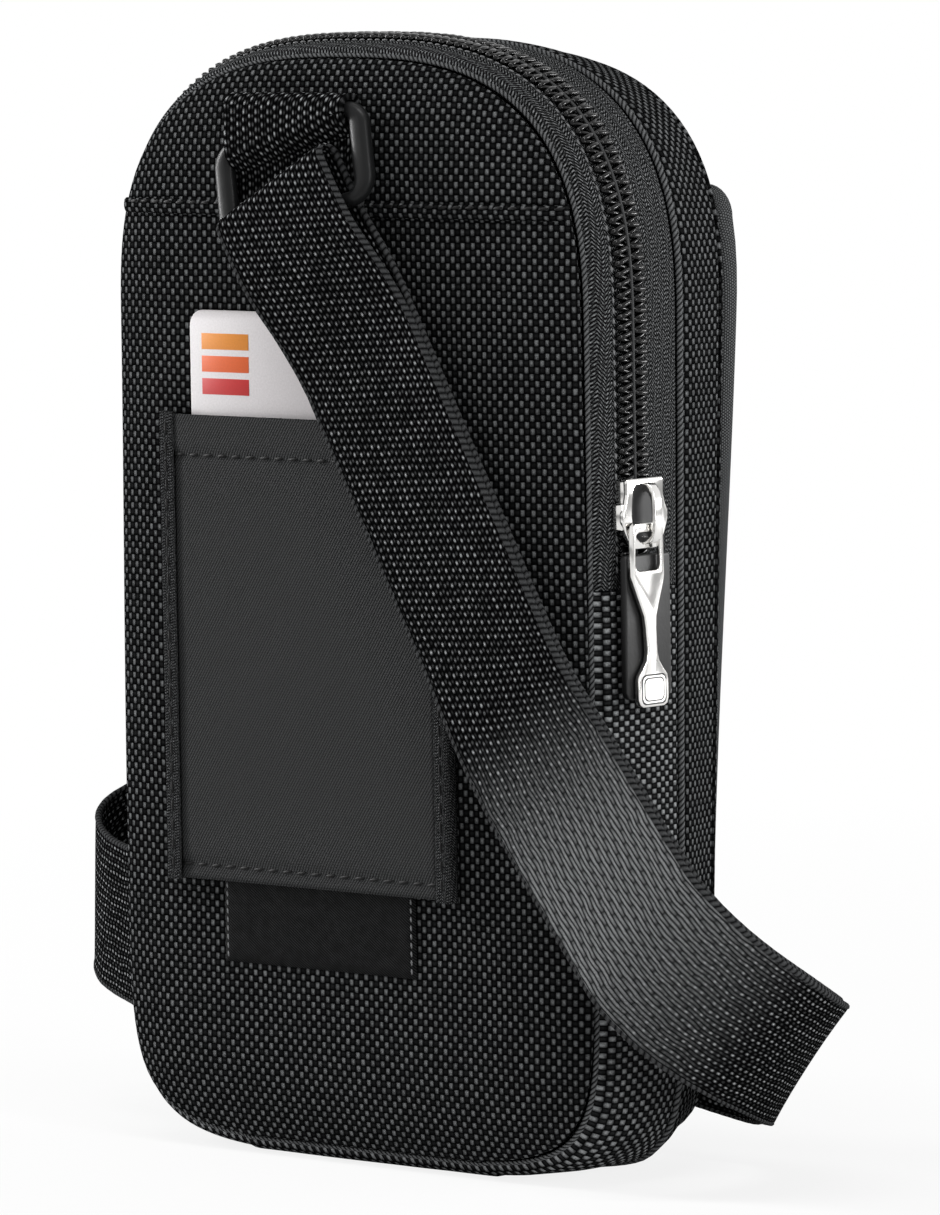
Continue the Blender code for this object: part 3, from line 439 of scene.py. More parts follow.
def sew(name, shape, material, node, thick=0.0, held=""):
    """A cloth piece of the bag's body. If held is given, its flat area is added up; the words of held are
    not used.
    """
    made = save_piece(name, shape, material, "bag", [node] if node else [])
    if held:
        lay_flat(made)
    if thick:
        thicken(made, thick)
    return made


# Face of the bag: the ballistic cloth over soft foam, pulled down all round into the piping seam.
# A yoke of the same cloth is sewn across it near the top.
PLATEAU = -4.0
YOKE_Z = 175.4
face_curve = [
    (1.75, 0.75), (0.75, -0.1), (0.15, -0.9), (0.35, -1.5), (1.6, -2.2), (4.0, -2.8), (8.0, -3.5),
    (13.0, -4.1), (19.0, -4.4)
]


def tuck(height):
    """How much slimmer the padded face is toward its top and its bottom corners."""
    return 1.0 * smooth_step((height - 60) / 100) + 1.1 * smooth_step((38 - height) / 34)


def ripple(x, z, amount):
    """Slow waves of the cloth over its foam."""
    low = noise.noise(Vector((x * 0.035, 1.7, z * 0.028)))
    fine = noise.noise(Vector((x * 0.11, 6.1, z * 0.08)))
    return amount * (low + 0.35 * fine)


def panel_cloth(
    spots, curve, inner_steps=12, waves=0.3, spine=(62.0, 150.0), low_curve=None, slim=None, square=8.0
):
    """A panel cut to an outline: rings from its seam inward, closed on the middle line.

    The curve holds pairs of inset and depth, and low_curve the same for the bottom where it
    differs. Slim gives a further inset by height. The rings lie square to the rim as far as
    the square reach, and go to the middle line from there. The UV map is the panel laid flat.
    """
    run = run_along(curve)
    count = len(spots)
    shape = bmesh.new()
    cloth = shape.loops.layers.uv.new("cloth")
    ring = bmesh.ops.create_circle(shape, segments=count, radius=1.0)["verts"]
    ring.sort(key=lambda vert: math.atan2(vert.co.y, vert.co.x) % (2 * math.pi))
    edges = list(shape.edges)
    flat = {}
    for level in range(len(curve) + inner_steps):
        if level:
            made = bmesh.ops.extrude_edge_only(shape, edges=edges)["geom"]
            fresh = {part for part in made if isinstance(part, bmesh.types.BMVert)}
            edges = [part for part in made if isinstance(part, bmesh.types.BMEdge)]
            edges = [edge for edge in edges if set(edge.verts) <= fresh]
            nearest = []
            for vert in ring:
                others = [edge.other_vert(vert) for edge in vert.link_edges]
                nearest.append([other for other in others if other in fresh][0])
            ring = nearest
        for vert, ((x, z), (nx, nz)) in zip(ring, spots):
            inset, depth = curve[min(level, len(curve) - 1)]
            if low_curve:
                low_inset, low_depth = low_curve[min(level, len(curve) - 1)]
                part = 1 - smooth_step((z - 45) / 130)
                inset += (low_inset - inset) * part
                depth += (low_depth - depth) * part
            if slim and level:
                inset += slim(z) * max(1 - inset / 10.0, 0.0)
            px, pz = x - nx * min(inset, square), z - nz * min(inset, square)
            way = Vector((-px, min(max(pz, spine[0]), spine[1]) - pz)).normalized()
            px += way.x * max(inset - square, 0.0)
            pz += way.y * max(inset - square, 0.0)
            if level < len(curve):
                slack = (run[-1] - run[level]) - (curve[-1][0] - inset)
                flat[vert] = (px + nx * slack, pz + nz * slack)
                wave = smooth_step((inset - 2.0) / 8.0)
            else:
                part = (level - len(curve) + 1) / inner_steps
                pz += (min(max(pz, spine[0]), spine[1]) - pz) * part
                px *= 1 - part
                flat[vert] = (px, pz)
                wave = 1.0
            vert.co = (px, depth_at(depth, pz) + ripple(px, pz, waves) * wave, pz)
    for face in shape.faces:
        for loop in face.loops:
            loop[cloth].uv = flat[loop.vert]
    return shape


body_rim = [on_outline(ROUND * i / 220) for i in range(220)]


def cut_face(name, keep_above, node):
    shape = panel_cloth(body_rim, face_curve, slim=tuck)
    bmesh.ops.remove_doubles(shape, verts=shape.verts, dist=0.0005)
    side = 1 if keep_above else -1
    bmesh.ops.bisect_plane(
        shape, geom=shape.verts[:] + shape.edges[:] + shape.faces[:],
        plane_co=(0, 0, YOKE_Z + 0.1 * side), plane_no=(0, 0, side), clear_inner=True
    )
    sew(name, shape, ballistic, node, 0.9, "stretched")


cut_face("face_cloth_lower", False, "face_panel")
cut_face("face_cloth_yoke", True, "face_yoke")

# Stitching: bonded nylon thread in short slanted stitches, pulled into the cloth at both ends.
# It is grey at the coils, the rear panel and the label, and black everywhere else.


def smooth_finish(name, colour, base, shine, grain, low, high, fine=(), depth=0.0, metallic=0.0):
    """A drawn, moulded or plated surface: specks vary its roughness, finer ones its height."""
    finish = Finish(name, colour, base, shine, metallic)
    place = finish.place()
    finish.rough(finish.speck(place, *grain), low, high)
    if fine:
        finish.relief(finish.speck(place, *fine), depth)
    return finish.material


thread = smooth_finish(
    "sewing_thread", (0.15, 0.153, 0.156), 0.45, 0.3, (900.0,), 0.35, 0.6, (2600.0, 1.0), 0.1
)
black_thread = Finish("black_thread", (0.006, 0.006, 0.0062), 0.5, 0.15).material


def stitch_row(name, path, spacing, long, thick, out_way, yarn=thread):
    """A seam's stitches in one piece. The path is a list of points that the needle follows."""
    shape = bmesh.new()
    walk = run_along(path)
    number = int(walk[-1] / spacing)
    step = 0
    for i in range(number):
        middle = walk[-1] * (i + 0.5) / number
        while step < len(walk) - 2 and walk[step + 1] < middle:
            step += 1
        part = (middle - walk[step]) / max(walk[step + 1] - walk[step], 1e-6)
        spot = path[step].lerp(path[step + 1], part)
        way = (path[step + 1] - path[step]).normalized()
        out = out_way(spot) if callable(out_way) else Vector(out_way)
        side = out.cross(way).normalized()
        lift = way.cross(side).normalized()
        turned = Matrix((way, side, lift)).transposed().to_4x4()
        sized = Matrix.Diagonal((long / 2, thick, thick * 0.8, 1.0))
        place = Matrix.Translation(spot) @ turned @ Matrix.Rotation(0.1, 4, "Z") @ sized
        bmesh.ops.create_uvsphere(shape, u_segments=7, v_segments=5, radius=1.0, matrix=place)
    return save_piece(name, shape, yarn, "bag", [])


# Yoke seam: the yoke's edge is folded under and lies over the face as a rounded ridge,
# held by one row of stitches.
RIDGE_HALF = 1.4
yoke_reach = max(x for x, z in dense if z >= YOKE_Z)
half_section = []
for inset, depth in face_curve[:1:-1]:
    inset += tuck(YOKE_Z) * max(1 - inset / 10.0, 0.0)
    half_section.append((yoke_reach - inset, depth))
section = [(-x, y) for x, y in reversed(half_section)] + half_section
section_run = run_along(section)


def ridge_point(across, around):
    """Half-round ridge that follows the face from edge to edge."""
    run = section_run[-1] * around
    i = max(k for k in range(len(section) - 1) if section_run[k] <= run)
    part = (run - section_run[i]) / (section_run[i + 1] - section_run[i])
    x, y = (section[i][k] + (section[i + 1][k] - section[i][k]) * part for k in (0, 1))
    lean = smooth_step((abs(x) - yoke_reach + 4.0) / 3.6) * math.copysign(0.9, x)
    angle = math.pi * (0.02 + 0.96 * across)
    end = smooth_step((yoke_reach - abs(x)) / 1.2 + 0.1)
    out = (0.62 * math.sin(angle) + 0.05) * end
    z = YOKE_Z - 0.1 - RIDGE_HALF * math.cos(angle)
    wobble = 0.12 * noise.noise(Vector((x * 0.2, 3.0, 0.0)))
    y += ripple(x, YOKE_Z, 0.3) * smooth_step((yoke_reach - abs(x) - 2.0) / 8.0)
    spot = Vector((x + math.sin(lean) * out, y - math.cos(lean) * out, z + wobble))
    return spot, (run, z * 1.35)


sew(
    "yoke_seam_ridge", lay_cloth(10, 120, ridge_point, flip=True), ballistic, "yoke_seam_fold",
    0.4
)
seam_path = [ridge_point(0.72, i / 60)[0] + Vector((0, -0.05, 0)) for i in range(61)]
stitch_row("yoke_seam_stitches", seam_path, 3.3, 2.3, 0.34, (0, -1, 0), yarn=black_thread)

# Gusset under the ends of the zip: a stiff strip of the same nylon, seen from its other side,
# where the yarns stand out as small knobs with painted highlights on them.
ZIP_END_Z = 107.0
ZIP_MIDDLE = 8.9
knobbed = basket_weave(
    "gusset_nylon", 1.46, 1.0, 0.65, YARN_BLACK, (0.30, 0.309, 0.315), 0.4, twin=1.0, narrow=1.0
)
fine_basket = basket_weave(
    "rear_band_nylon", 1.1, 1.17, 0.65, YARN_BLACK, (0.15, 0.155, 0.158), 0.34, narrow=1.0
)
zip_right = length_to(ZIP_END_Z)
zip_left = ROUND - zip_right


def hoop_cloth(low, high, start, end, rows, columns=14, lift=0.0, dip=0.9, waves=0.0):
    """A strip of the gusset. Both long edges are pulled down into their seams."""

    def put(across, around):
        eased = 0.5 - 0.5 * math.cos(math.pi * across)
        depth = low + (high - low) * eased
        along = start + (end - start) * around
        (x, z), (nx, nz) = on_outline(along)
        edge = min(depth - low, high - depth)
        out = lift + crown_at(depth, z) - dip * (1 - min(edge / 1.5, 1.0)) ** 2
        out += ripple(along, depth * 2, waves)
        point = Vector((x + nx * out, depth_at(depth, z), z + nz * out))
        return point, (depth, along)

    return lay_cloth(columns, rows, put, flip=True)


gusset_strip = hoop_cloth(0.25, 23.55, -zip_right, zip_right, 220, columns=20, waves=0.12)
sew("gusset_cloth_lower", gusset_strip, knobbed, "gusset_lower", 1.0)

# Rear band of the gusset: one strip of finer ballistic nylon all the way round, sewn between
# the zip and the rear wall. A seam line runs in front of it.
rear_strip = hoop_cloth(24.0, 39.0, 0.0, ROUND, 260, dip=0.7, waves=0.1)
sew("gusset_cloth_rear", rear_strip, fine_basket, "gusset_rear_band", 1.0)

# Zip tapes: herringbone twill, sewn to the face seam in front and to the rear band behind.
# The coils are sewn on with a line of small stitches, one to a tooth.


def herringbone(name, band, pitch, slope, dark, light, depth, middle=0.0):
    """Diagonal twill lines that turn back at each band, as on woven tape."""
    finish = Finish(name, light, 0.6)
    vector, u, v = finish.cloth_place()
    half_way = ((u + (400.0 * band + middle)) / band).rest() - 0.5
    lean = half_way.size() * (slope * band)
    along = v + lean + finish.speck(vector, 0.4) * 0.25
    line = (along / pitch).hump()
    fine = ((u + along) / (pitch * 1.1)).hump()
    height = line**1.2 * (fine + 0.4) / 1.4
    fuzz = finish.speck(vector, 2.6, 3.0, 0.7)
    # Painted highlights: the crowns of the twill lines are painted lighter, with random glints.
    painted_sheen = height**2.2 * ((fuzz - 0.36) * 4.0).at_least(0.1)
    finish.tint(painted_sheen.at_most(1.0), dark, light)
    finish.relief(height + fuzz * 0.3, depth)
    return finish.material


zip_twill = herringbone(
    "zip_tape_twill", 2.7, 0.74, 1.2, (0.0014, 0.0014, 0.0015), (0.34, 0.35, 0.357), 0.2
)
COIL_PITCH = 1.86
for tape_name, low, high, node in (
    ("zip_tape_cloth_front", 0.25, ZIP_MIDDLE - 0.85, "zip_tape_front"),
    ("zip_tape_cloth_rear", ZIP_MIDDLE + 0.85, 23.4, "zip_tape_rear")
):
    strip = hoop_cloth(low, high, zip_right + 0.3, zip_left - 0.3, 240, lift=-0.1, dip=0.7, waves=0.06)
    sew(tape_name, strip, zip_twill, node, 0.6)


def hoop_point(depth, along, out):
    (x, z), (nx, nz) = on_outline(along)
    out += crown_at(depth, z)
    return Vector((x + nx * out, depth_at(depth, z), z + nz * out))


def out_of_hoop(spot):
    """Way out of the gusset at a point near it."""
    best = min(dense[::8], key=lambda pair: (pair[0] - spot.x) ** 2 + (pair[1] - spot.z) ** 2)
    (x, z), (nx, nz) = on_outline(walked[dense.index(best)])
    return Vector((nx, 0.0, nz))


coil_start = zip_right + 3.0
coil_end = zip_left - 3.0
teeth = int((coil_end - coil_start) / COIL_PITCH)
for side, depth in (("front", ZIP_MIDDLE - 4.4), ("rear", ZIP_MIDDLE + 4.5)):
    path = [hoop_point(depth, coil_start + i * COIL_PITCH, 0.05) for i in range(teeth + 1)]
    stitch_row(f"coil_stitches_{side}", path, COIL_PITCH, 1.25, 0.27, out_of_hoop)

# Zip coils: one nylon line for each side, wound flat and set to hook into the other.
# A thin cord runs inside along the middle.
coil_nylon = smooth_finish(
    "coil_nylon", (0.002, 0.002, 0.0021), 0.12, 0.28, (700.0,), 0.08, 0.18, (1600.0,), 0.02
)
COIL_WIRE = 0.5
coil_turn = {
    "front": [
        (-1.5, 0.62, 0.00), (-1.25, 1.02, 0.02), (-0.5, 1.22, 0.12), (0.4, 1.24, 0.26),
        (1.25, 1.16, 0.40), (1.85, 0.85, 0.48), (1.5, 0.58, 0.56), (0.0, 0.52, 0.76), (-1.2, 0.54, 0.92)
    ],
    "rear": [
        (-1.5, 0.62, 0.00), (-1.25, 1.02, 0.00), (-0.5, 1.22, 0.01), (0.4, 1.24, 0.02),
        (1.25, 1.16, 0.03), (1.85, 0.85, 0.08), (1.5, 0.58, 0.20), (0.0, 0.52, 0.50), (-1.2, 0.54, 0.84)
    ]
}


def drawn_line(name, points, thick, material, nodes):
    """A round line through points in millimetres."""
    data = bpy.data.curves.new(name, "CURVE")
    data.dimensions = "3D"
    data.bevel_depth = thick * MM
    data.bevel_resolution = 1
    data.use_fill_caps = True
    spline = data.splines.new("POLY")
    spline.points.add(len(points) - 1)
    for point, spot in zip(spline.points, points):
        moved = (spot + Vector((0.0, -BASE_MIDDLE, CROWN))) * MM
        point.co = (*moved, 1.0)
    place_piece(name, data, material, "bag", nodes)


for side, toward in (("front", 1), ("rear", -1)):
    points = []
    offset = 0.0 if side == "front" else 0.5
    for i in range(teeth):
        for inward, up, share_of_turn in coil_turn[side]:
            depth = ZIP_MIDDLE + toward * (inward - 0.75 - 1.55)
            along = coil_start + (i + share_of_turn + offset) * COIL_PITCH
            points.append(hoop_point(depth, along, 0.8 * up))
    drawn_line(f"zip_coil_line_{side}", points, COIL_WIRE, coil_nylon, [f"zip_coil_{side}"])
cord_path = [
    hoop_point(ZIP_MIDDLE, coil_start + (coil_end - coil_start) * i / 120, 0.75) for i in range(121)
]
core_cord = Finish("coil_core_cord", (0.05, 0.051, 0.052), 0.6, 0.1).material
drawn_line("zip_coil_core", cord_path, 0.34, core_cord, [])
for side in ("left", "right"):
    for place_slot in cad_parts[f"zip_end_stop_{side}"].material_slots:
        place_slot.material = coil_nylon

# Rolled seams: the rear band's edge is turned under beside the zip tape and oversewn,
# which shows as a thin cord with slanted threads. A darker one lies in the face seam.


def corded(name, pitch, dark, light, depth, lean=1.0):
    """Threads that lie slanted round a cord."""
    finish = Finish(name, light, 0.6)
    vector, u, v = finish.cloth_place()
    height = (v / pitch + u * lean).hump() ** 0.7
    fuzz = finish.speck(vector, 4.0, 3.0, 0.7)
    # Painted highlights on the crowns of the slanted threads.
    finish.tint(height**1.8 * fuzz, dark, light)
    finish.relief(height, depth)
    return finish.material


cord_cloth = corded("rolled_edge", 1.1, (0.0018, 0.0018, 0.002), (0.28, 0.288, 0.294), 0.25)


def rolled_edge(name, depth, radius, lift):
    """A thin roll of cloth round the whole outline at a depth behind the face seam."""

    def put(across, around):
        angle = math.pi * (1.15 - 1.3 * across)
        along = ROUND * around
        (nx, nz) = on_outline(along)[1]
        out = Vector((nx, 0.0, nz))
        turned = out * math.sin(angle) * radius + Vector((0, 1, 0)) * math.cos(angle) * -radius
        return hoop_point(depth, along, lift) + turned, (across * 2.0, along)

    sew(name, lay_cloth(9, 320, put, flip=True), cord_cloth, None, 0.3)


rolled_edge("rear_seam_roll", 24.15, 0.62, -0.1)
rolled_edge("face_seam_roll", 0.35, 0.55, -1.0)

# Slider: die-cast and nickel plated. A shield-shaped plate with sides turned down round the coils,
# a plate under the tape, and a bridge for the pull.
nickel = smooth_finish(
    "bright_nickel", (0.80, 0.79, 0.77), 0.12, 0.5, (260.0, 4.0, 0.6), 0.07, 0.2, (140.0, 2.0), 0.02, 1.0
)
SLIDER_Z = 121.0
SLIDER_LENGTH = 12.8
slider_half = 6.2
slider_low = SLIDER_Z - SLIDER_LENGTH / 2
slider_high = SLIDER_Z + SLIDER_LENGTH / 2
tape_top = HALF_WIDTH + CROWN - 0.1
tape_back = tape_top - 0.7
plate_low = tape_top + 0.25 + 1.7 + 0.3
plate_high = plate_low + 1.1


def soften(shape, edges, offset, segments=3, clamp=False):
    """Rounds edges."""
    bmesh.ops.bevel(
        shape, geom=edges, offset=offset, segments=segments, profile=0.5, affect="EDGES",
        material=-1, clamp_overlap=clamp
    )


def push_out(shape, faces, way):
    """Gives flat faces a thickness."""
    made = bmesh.ops.extrude_face_region(shape, geom=faces)["geom"]
    lifted = [part for part in made if isinstance(part, bmesh.types.BMVert)]
    bmesh.ops.translate(shape, vec=way, verts=lifted)
    return lifted


def level_edges(shape, axis, least_turn=0.0):
    """Edges that lie square to an axis and turn at least so far."""
    found = []
    for edge in shape.edges:
        rise = abs(edge.verts[0].co[axis] - edge.verts[1].co[axis])
        if rise < 0.01 and (not least_turn or edge.calc_face_angle(0.0) > least_turn):
            found.append(edge)
    return found


def cut_plate(shape, outline, near, far, soft, segments=3):
    """A flat plate with rounded edges, cut to an outline of pairs (depth, height) and facing +X."""
    corners = [shape.verts.new((near, y, z)) for y, z in outline]
    both = set(corners) | set(push_out(shape, [shape.faces.new(corners)], (far - near, 0.0, 0.0)))
    faces = {part for vert in both for part in vert.link_faces}
    bmesh.ops.recalc_face_normals(shape, faces=list(faces))
    edges = [edge for edge in shape.edges if edge.verts[0] in both and edge.verts[1] in both]
    soften(shape, edges, soft, segments, clamp=True)


def both_sides(half):
    """A mirrored outline round the zip's middle from its one half."""
    right = [(ZIP_MIDDLE + y, z) for y, z in half]
    return right + [(ZIP_MIDDLE - y, z) for y, z in reversed(half)]


# Half outline of the slider: narrow below, widest under the middle, with a waist above.
slider_side = [
    (slider_half - 1.5, slider_high), (slider_half - 1.2, slider_high - 0.5),
    (slider_half - 1.3, SLIDER_Z + 3.4), (slider_half - 0.8, SLIDER_Z + 1.6),
    (slider_half - 0.1, SLIDER_Z + 0.2), (slider_half - 0.1, SLIDER_Z - 1.2),
    (slider_half - 1.0, SLIDER_Z - 3.6), (slider_half - 2.0, SLIDER_Z - 5.4),
    (slider_half - 3.0, slider_low + 0.1), (slider_half - 3.9, slider_low)
]


def bar_block(shape, low, high, soft):
    """A block between two corners, with softened edges."""
    made = bmesh.ops.create_cube(shape, size=1.0)["verts"]
    bmesh.ops.scale(shape, vec=[b - a for a, b in zip(low, high)], verts=made)
    bmesh.ops.translate(shape, vec=[(a + b) / 2 for a, b in zip(low, high)], verts=made)
    soften(shape, list({edge for vert in made for edge in vert.link_edges}), soft)


def plain_piece(name, shape, material, body, nodes, smooth_angle=40.0):
    """Hard pieces: faces are smooth except across sharp edges."""
    made = save_piece(name, shape, material, body, nodes)
    made.data.set_sharp_from_angle(angle=math.radians(smooth_angle))


shape = bmesh.new()
cut_plate(shape, both_sides(slider_side), plate_low, plate_high, 0.38)
cut_plate(shape, both_sides(slider_side), tape_back - 1.3, tape_back - 0.3, 0.3)
bar_block(
    shape, (tape_back - 0.8, ZIP_MIDDLE - 0.4, SLIDER_Z + 1.5),
    (plate_low + 0.5, ZIP_MIDDLE + 0.4, slider_high - 0.7), 0.15
)
for side in (-1, 1):
    for inner, outer, low, high, soft in (
        (1.3, 0.3, SLIDER_Z - 2.9, SLIDER_Z + 1.9, 0.3),
        (1.8, 1.3, SLIDER_Z + 1.2, slider_high - 0.4, 0.25)
    ):
        ends = sorted(ZIP_MIDDLE + side * (slider_half - inset) for inset in (inner, outer))
        bar_block(shape, (tape_top + 0.45, ends[0], low), (plate_low + 0.5, ends[1], high), soft)
plain_piece("slider_body", shape, nickel, "slider", ["zip_slider"])

# Bridge: a strip of the same nickel-plated metal, bent over the plate's middle and joined to it
# at both ends. Its lower half stands open for the pull.
bridge_low = SLIDER_Z - 5.6
bridge_high = SLIDER_Z + 5.6
HALF_BRIDGE = 0.98
arch_outside = [
    (0.0, bridge_high), (1.0, bridge_high - 0.05), (1.9, bridge_high - 0.5), (2.7, bridge_high - 1.6),
    (3.08, bridge_high - 3.2), (3.1, SLIDER_Z), (3.05, bridge_low + 2.6), (2.7, bridge_low + 1.0),
    (1.9, bridge_low + 0.3), (0.0, bridge_low)
]
arch_inside = [
    (0.0, bridge_low + 1.2), (1.2, bridge_low + 1.35), (1.8, bridge_low + 1.9),
    (2.08, bridge_low + 2.9), (2.1, SLIDER_Z), (2.05, bridge_high - 3.6), (1.7, bridge_high - 2.4),
    (1.0, bridge_high - 1.6), (0.0, bridge_high - 1.5)
]
shape = bmesh.new()
near_side = ZIP_MIDDLE - HALF_BRIDGE
arch = [shape.verts.new((plate_high + 0.02 + out, near_side, z)) for out, z in arch_outside + arch_inside]
push_out(shape, [shape.faces.new(arch)], (0.0, 2 * HALF_BRIDGE, 0.0))
bmesh.ops.recalc_face_normals(shape, faces=shape.faces)
soften(shape, level_edges(shape, 1), 0.22)
plain_piece("slider_bridge", shape, nickel, "slider", ["zip_slider_bridge"], 30.0)

# Pull: a nickel frame on the bridge, a thin neck and a small square pad with a sunk middle.
# A strip of black rubber lies behind it.
PULL_THICK = 1.1
hinge_x = plate_high + 1.15
hinge_z = bridge_low + 3.1
pull_near = hinge_x - PULL_THICK / 2
pull_far = hinge_x + PULL_THICK / 2
PULL_MIDDLE = ZIP_MIDDLE - 0.35
pull_half = [
    (3.2, 0.95), (4.0, 0.55), (4.25, -0.4), (4.35, -8.6), (4.0, -10.0), (2.6, -13.4), (1.6, -16.0),
    (1.4, -18.0), (1.35, -22.4), (1.7, -24.0), (2.9, -25.6), (3.8, -26.6), (4.1, -27.6), (4.1, -31.0),
    (3.7, -32.0), (2.8, -32.4)
]
eye_half = [(2.3, -0.75), (3.0, -1.1), (3.3, -1.9), (3.4, -6.6), (3.1, -7.4), (2.3, -7.7)]
shape = bmesh.new()


def hang(z):
    """The pull hangs a little askew, its frame toward the face."""
    return 1.1 * smooth_step((z + 27.0) / 22.0)


def closed_line(half):
    """A closed line of the pull's outline, in its near plane."""
    ends = [(PULL_MIDDLE + y - hang(z), hinge_z + z) for y, z in half]
    ends += [(PULL_MIDDLE - y - hang(z), hinge_z + z) for y, z in reversed(half)]
    verts = [shape.verts.new((pull_near, y, z)) for y, z in ends]
    return [shape.edges.new((a, b)) for a, b in zip(verts, verts[1:] + verts[:1])]


rim_edges = closed_line(pull_half) + closed_line(eye_half)
bmesh.ops.triangle_fill(shape, edges=rim_edges, use_beauty=True)
bmesh.ops.dissolve_limit(shape, angle_limit=0.02, verts=shape.verts, edges=shape.edges)
push_out(shape, shape.faces[:], (PULL_THICK, 0.0, 0.0))
bmesh.ops.recalc_face_normals(shape, faces=shape.faces)
soften(shape, level_edges(shape, 0, 0.7), 0.28)
plain_piece("pull_frame", shape, nickel, "pull", ["zip_pull"], 30.0)
# Dark metal for painted shade and painted dark reflection in the hollows of the slider and the pull.
shade_painted_metal = smooth_finish("recess_painted_shade", (0.012, 0.012, 0.0125), 0.3, 0.3, (400.0, 3.0), 0.22, 0.4)
pad_z = hinge_z - 29.2
# The pad's double line is this dark metal showing round the nickel plates: painted shade in its grooves.
for name, finish, plates in (
    ("pull_pad_lines", shade_painted_metal, ((3.35, 2.75, 0.03), (2.75, 2.15, 0.09))),
    ("pull_pad_relief", nickel, ((3.1, 2.5, 0.06), (2.55, 1.95, 0.12)))
):
    shape = bmesh.new()
    for wide, high, rise in plates:
        corner = [(wide, high - 0.9), (wide - 0.3, high - 0.3), (wide - 0.9, high)]
        top = corner + [(-y, z) for y, z in reversed(corner)]
        pad = top + [(y, -z) for y, z in reversed(top)]
        outline = [(PULL_MIDDLE + y, pad_z + z) for y, z in pad]
        cut_plate(shape, outline, pull_far - 0.3, pull_far + rise, 0.02, 1)
    plain_piece(name, shape, finish, "pull", [], 30.0)

# Recess of the slider: its plate is sunk round the bridge, and the shade and dark reflection in
# that hollow are painted on a dark plate laid over it.
shape = bmesh.new()
recess = [
    (2.5, slider_high - 1.0), (3.4, slider_high - 1.7), (3.7, SLIDER_Z + 2.6), (3.9, SLIDER_Z - 0.4),
    (3.6, SLIDER_Z - 2.6), (2.6, SLIDER_Z - 4.4), (1.6, SLIDER_Z - 5.2)
]
cut_plate(shape, both_sides(recess), plate_high - 0.3, plate_high + 0.04, 0.03, 1)
plain_piece("slider_recess_painted_shade", shape, shade_painted_metal, "slider", [], 30.0)
rubber = smooth_finish(
    "black_rubber", (0.006, 0.006, 0.0063), 0.42, 0.3, (300.0, 3.0), 0.34, 0.52, (1500.0, 3.0), 0.03
)
shape = bmesh.new()
strip_low = hinge_z - 31.0
strip_high = slider_low - 0.9
strip = [
    (5.8, strip_high), (6.2, strip_high - 0.6), (6.2, strip_low + 1.2), (5.7, strip_low + 0.3),
    (4.8, strip_low)
]
cut_plate(shape, both_sides(strip), pull_near - 1.7, pull_near - 0.3, 0.4, 4)
plain_piece("pull_backing_strip", shape, rubber, "pull", ["zip_pull_backing"])

# Rear wall: a flat panel of the ballistic nylon with foam and lining behind it. It is cut to the
# outline of the body and sewn to the rear band.
REAR_START = 39.3
rear_curve = [(0.4, 39.3), (0.5, 39.9), (1.3, 40.3), (3.0, 40.5), (8.0, 40.5)]
rear_shape = panel_cloth(body_rim, rear_curve, 10, 0.1)
sew("rear_wall_cloth", rear_shape, ballistic, "rear_wall", 0.9)

# Padded panel at the rear: fine smooth cloth over foam, open at the top as a slip pocket.
# A seam runs round it a little inside its edge.
PANEL_TOP = 178.0
PANEL_CORNER = 5.0
PANEL_INSET = 1.8
panel_back = REAR_START + 1.6


def fine_cloth(name, wide, tall, dark, light, depth):
    """Fine cloth of short dashes in upright columns."""
    finish = Finish(name, light, 0.65)
    vector, u, v = finish.cloth_place()
    a = u / wide + 900.0
    b = v / tall + a.whole() % 2.0 * 0.5
    dash = a.hump() ** 0.6 * b.hump()
    fuzz = finish.speck(vector, 2.2, 4.0, 0.7)
    # Painted sheen: the dashes are painted lighter than the cloth between them.
    painted_sheen = dash**1.6 * (fuzz * 2.0)
    finish.tint(painted_sheen.at_most(1.0), dark, light)
    finish.relief(dash + fuzz * 0.4, depth)
    return finish.material


panel_finish = fine_cloth(
    "rear_panel_cloth", 0.5, 0.55, (0.012, 0.0124, 0.0127), (0.15, 0.155, 0.158), 0.08
)


def top_cut_rim(inset, top, corner):
    """The body's outline moved in and cut off level at the top, with two small round corners."""
    reach = length_to(top - inset - corner)
    ring = []
    for i in range(97):
        (x, z), (nx, nz) = on_outline(-reach + 2 * reach * i / 96)
        ring.append(((x - nx * inset, z - nz * inset), (nx, nz)))
    (left, _), (right, _) = ring[0], ring[-1]
    bend = top - inset - right[1]
    for i in range(1, 9):
        angle = math.pi / 2 * i / 8
        spot = (right[0] - bend * (1 - math.cos(angle)), right[1] + bend * math.sin(angle))
        ring.append((spot, (math.cos(angle), math.sin(angle))))
    for i in range(1, 8):
        x = right[0] - bend + (left[0] - right[0] + 2 * bend) * i / 8
        ring.append(((x, top - inset), (0.0, 1.0)))
    for i in range(8, 0, -1):
        angle = math.pi / 2 * i / 8
        spot = (left[0] + bend * (1 - math.cos(angle)), left[1] + bend * math.sin(angle))
        ring.append((spot, (-math.cos(angle), math.sin(angle))))
    return ring


